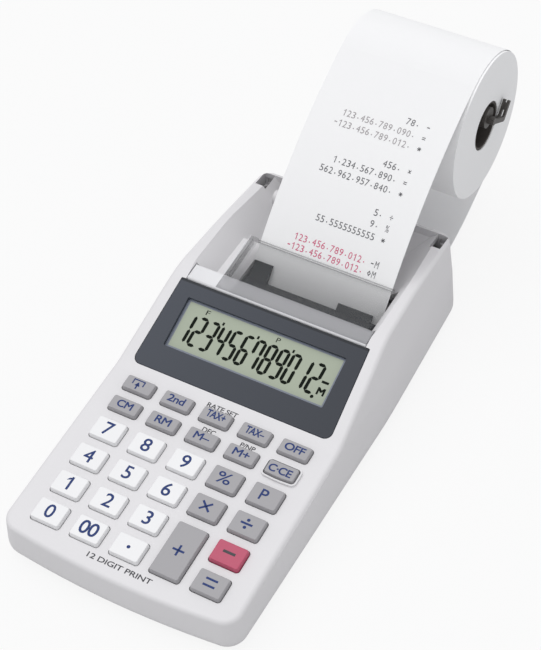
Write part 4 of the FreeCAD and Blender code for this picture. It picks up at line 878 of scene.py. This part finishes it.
class CALCULATOR_OT_tape(bpy.types.Operator):
    """Print the rows of figures on the paper tape"""

    bl_idname = "calculator.tape"
    bl_label = "Tape"

    def glyph(self, letter, s):
        """One flat printed figure or sign round the origin, its foot at zero."""
        high = s.figure_height
        wide = s.figure_width
        thin = s.thin
        if letter == "·":
            return disc(0.27 * MM, y=high * 0.3, corners=8)
        if letter == "−":
            return bar(wide * 0.75, thin * 1.3, y=high * 0.5)
        if letter == "=":
            return merged([bar(wide * 0.9, thin, y=high * k) for k in (0.36, 0.62)])
        if letter in STARS:
            return merged([bar(wide * 1.1, thin, y=high * 0.5, turned=a) for a in STARS[letter]])
        if letter == "÷":
            parts = [bar(wide * 0.9, thin, y=high * 0.5)]
            return merged(parts + [disc(0.22 * MM, y=high * k, corners=8) for k in (0.25, 0.75)])
        if letter == "◊":
            one = disc(wide * 0.5, corners=4, stretch=1.5)
            only(one)
            bpy.ops.object.mode_set(mode="EDIT")
            bpy.ops.mesh.select_all(action="SELECT")
            bpy.ops.mesh.inset(thickness=thin, use_boundary=True)
            bpy.ops.mesh.delete(type="FACE")
            bpy.ops.object.mode_set(mode="OBJECT")
            return settle(one, Matrix.Translation((0, high * 0.5, 0)))
        one = figure_one(high, thin) if letter == "1" else words(letter, high, width=wide)
        return settle(one, Matrix.Translation((0, high / 2, 0)))

    def execute(self, context):
        s = settings().tape
        inks = {name: ink("tape_ink_" + name, tuple(getattr(s, name))) for name in ("grey", "faint", "red")}
        path = TapePath()
        glyphs = {}
        for row in TAPE_ROWS:
            for letter in row[1] + row[2]:
                if letter not in glyphs:
                    glyphs[letter] = self.glyph(letter, s)
        for number, (up, figures, signs, figure_ink, sign_ink) in enumerate(TAPE_ROWS):
            y, z, slope = path.point(up * MM)
            place = seat(y, z, slope, TAPE_THICKNESS / 2 + TAPE_INK_LIFT)
            foot = Matrix.Translation((0, -s.figure_height / 2, 0))
            for kind, text, last, tint in (
                ("figures", figures, s.point_x, figure_ink),
                ("sign", signs, s.sign_x + (s.cell / 2 if len(signs) > 1 else 0), sign_ink),
            ):
                parts = []
                for step, letter in enumerate(reversed(text)):
                    copy = twin(glyphs[letter])
                    x = last - step * s.cell
                    parts.append(settle(copy, place @ Matrix.Translation((x, 0, 0)) @ foot))
                one = joined("tape_row_%02d_%s" % (number + 1, kind), parts, inks[tint])
                self.bend(one, path)
        for one in glyphs.values():
            discard(one)
        self.make_strip(path)
        return {"FINISHED"}

    def bend(self, one, path):
        """Puts the piece's place into its mesh; the way up the tape to where it meets the roll is worked
        out, but nothing uses it.
        """
        y, z = path.point(path.free)[:2]
        along = Vector((0, y - path.tear[0], z - path.tear[1])).normalized()
        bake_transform(one)

    def make_strip(self, path):
        """The paper strip from inside the slot to the end of its wrap."""
        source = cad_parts["paper_tape"]
        one = twin(source)
        one.parent = None
        one.matrix_world = Matrix.Identity(4)
        one.name = "tape_strip"
        one.data.name = "tape_strip"
        for key in list(one.keys()):
            if key.startswith("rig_"):
                del one[key]
        one.data.materials.clear()
        one.data.materials.append(paper("tape_finish", tuple(settings().finish.paper), through=0.1))
        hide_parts("paper_tape")
        self.bend(one, path)


class CALCULATOR_OT_stage(bpy.types.Operator):
    """Set the pale floor, the soft light and the camera"""

    bl_idname = "calculator.stage"
    bl_label = "Stage"

    def execute(self, context):
        s = settings().stage
        bpy.ops.object.select_all(action="DESELECT")
        bpy.ops.mesh.primitive_plane_add(size=6)
        floor = bpy.context.view_layer.objects.active
        floor.name = "floor"
        graph = Graph("floor_finish")
        tone = graph.noise(0.8)
        graph.set(Base_Color=graph.mix(tone, tuple(s.floor), scaled(s.floor, 0.995)))
        graph.set(Roughness=0.9, Specular_IOR_Level=0.0)
        glow = graph.node("ShaderNodeEmission", {}, {"Color": (1, 1, 1), "Strength": 1.0})
        seen = graph.node("ShaderNodeLightPath")["Is Camera Ray"] * s.lightness
        graph.blend_shader(seen, glow["Emission"])
        floor.data.materials.append(graph.material)

        world = bpy.data.worlds.new("sky")
        context.scene.world = world
        world.use_nodes = True
        tree = world.node_tree
        tree.nodes.clear()
        output = tree.nodes.new("ShaderNodeOutputWorld")
        seen = tree.nodes.new("ShaderNodeBackground")
        seen.inputs["Color"].default_value = (1, 1, 1, 1)
        seen.inputs["Strength"].default_value = 1.0
        light = tree.nodes.new("ShaderNodeBackground")
        light.inputs["Color"].default_value = (0.98, 0.985, 1.0, 1)
        light.inputs["Strength"].default_value = s.sky
        path = tree.nodes.new("ShaderNodeLightPath")
        mix = tree.nodes.new("ShaderNodeMixShader")
        tree.links.new(path.outputs["Is Camera Ray"], mix.inputs["Fac"])
        tree.links.new(light.outputs["Background"], mix.inputs[1])
        tree.links.new(seen.outputs["Background"], mix.inputs[2])
        tree.links.new(mix.outputs["Shader"], output.inputs["Surface"])

        bpy.ops.object.light_add(type="SUN", location=(-0.4, 0.1, 0.9))
        sun = bpy.context.view_layer.objects.active
        sun.name = "soft_lamp"
        sun.data.energy = s.sun
        sun.data.angle = s.sun_width
        sun.rotation_euler = Vector(s.sun_from).to_track_quat("Z", "Y").to_euler()

        back = Vector((
            math.sin(s.azimuth) * math.cos(s.elevation),
            -math.cos(s.azimuth) * math.cos(s.elevation),
            math.sin(s.elevation),
        ))
        right = Vector((math.cos(s.azimuth), math.sin(s.azimuth), 0))
        up = back.cross(right)
        cosine, sine = math.cos(s.roll), math.sin(s.roll)
        leaned_right = cosine * right + sine * up
        leaned_up = -sine * right + cosine * up
        turned = Matrix((leaned_right, leaned_up, back)).transposed().to_4x4()
        bpy.ops.object.camera_add()
        camera = bpy.context.view_layer.objects.active
        camera.name = "camera"
        camera.matrix_world = Matrix.Translation(Vector(s.target) + back * s.distance) @ turned
        camera.data.sensor_fit = "VERTICAL"
        camera.data.sensor_width = s.sensor
        camera.data.sensor_height = s.sensor
        camera.data.lens = s.lens
        camera.data.clip_start = 0.01
        context.scene.camera = camera
        context.scene.view_settings.view_transform = "Standard"
        return {"FINISHED"}


class CALCULATOR_PT_panel(bpy.types.Panel):
    """The calculator's settings and steps"""

    bl_idname = "CALCULATOR_PT_panel"
    bl_label = "Printing calculator"
    bl_space_type = "VIEW_3D"
    bl_region_type = "UI"
    bl_category = "Calculator"

    def draw(self, context):
        for group in ("finish", "legends", "display", "tape", "stage"):
            part = getattr(context.scene.calculator, group)
            box = self.layout.box()
            box.label(text=group.capitalize())
            for name in part.__annotations__:
                box.prop(part, name)
        for step in STEPS:
            self.layout.operator("calculator." + step)


STEPS = ("finishes", "legends", "display", "tape", "stage")
CLASSES = (
    CalculatorFinish,
    CalculatorLegends,
    CalculatorDisplay,
    CalculatorTape,
    CalculatorStage,
    CalculatorSettings,
    CALCULATOR_OT_finishes,
    CALCULATOR_OT_legends,
    CALCULATOR_OT_display,
    CALCULATOR_OT_tape,
    CALCULATOR_OT_stage,
    CALCULATOR_PT_panel,
)


def register():
    for one in CLASSES:
        bpy.utils.register_class(one)
    bpy.types.Scene.calculator = PointerProperty(type=CalculatorSettings)


def unregister():
    del bpy.types.Scene.calculator
    for one in reversed(CLASSES):
        bpy.utils.unregister_class(one)


def main():
    register()
    for step in STEPS:
        result = getattr(bpy.ops.calculator, step)()
        if result != {"FINISHED"}:
            raise RuntimeError("step did not finish: " + step)


if __name__ == "__main__":
    main()
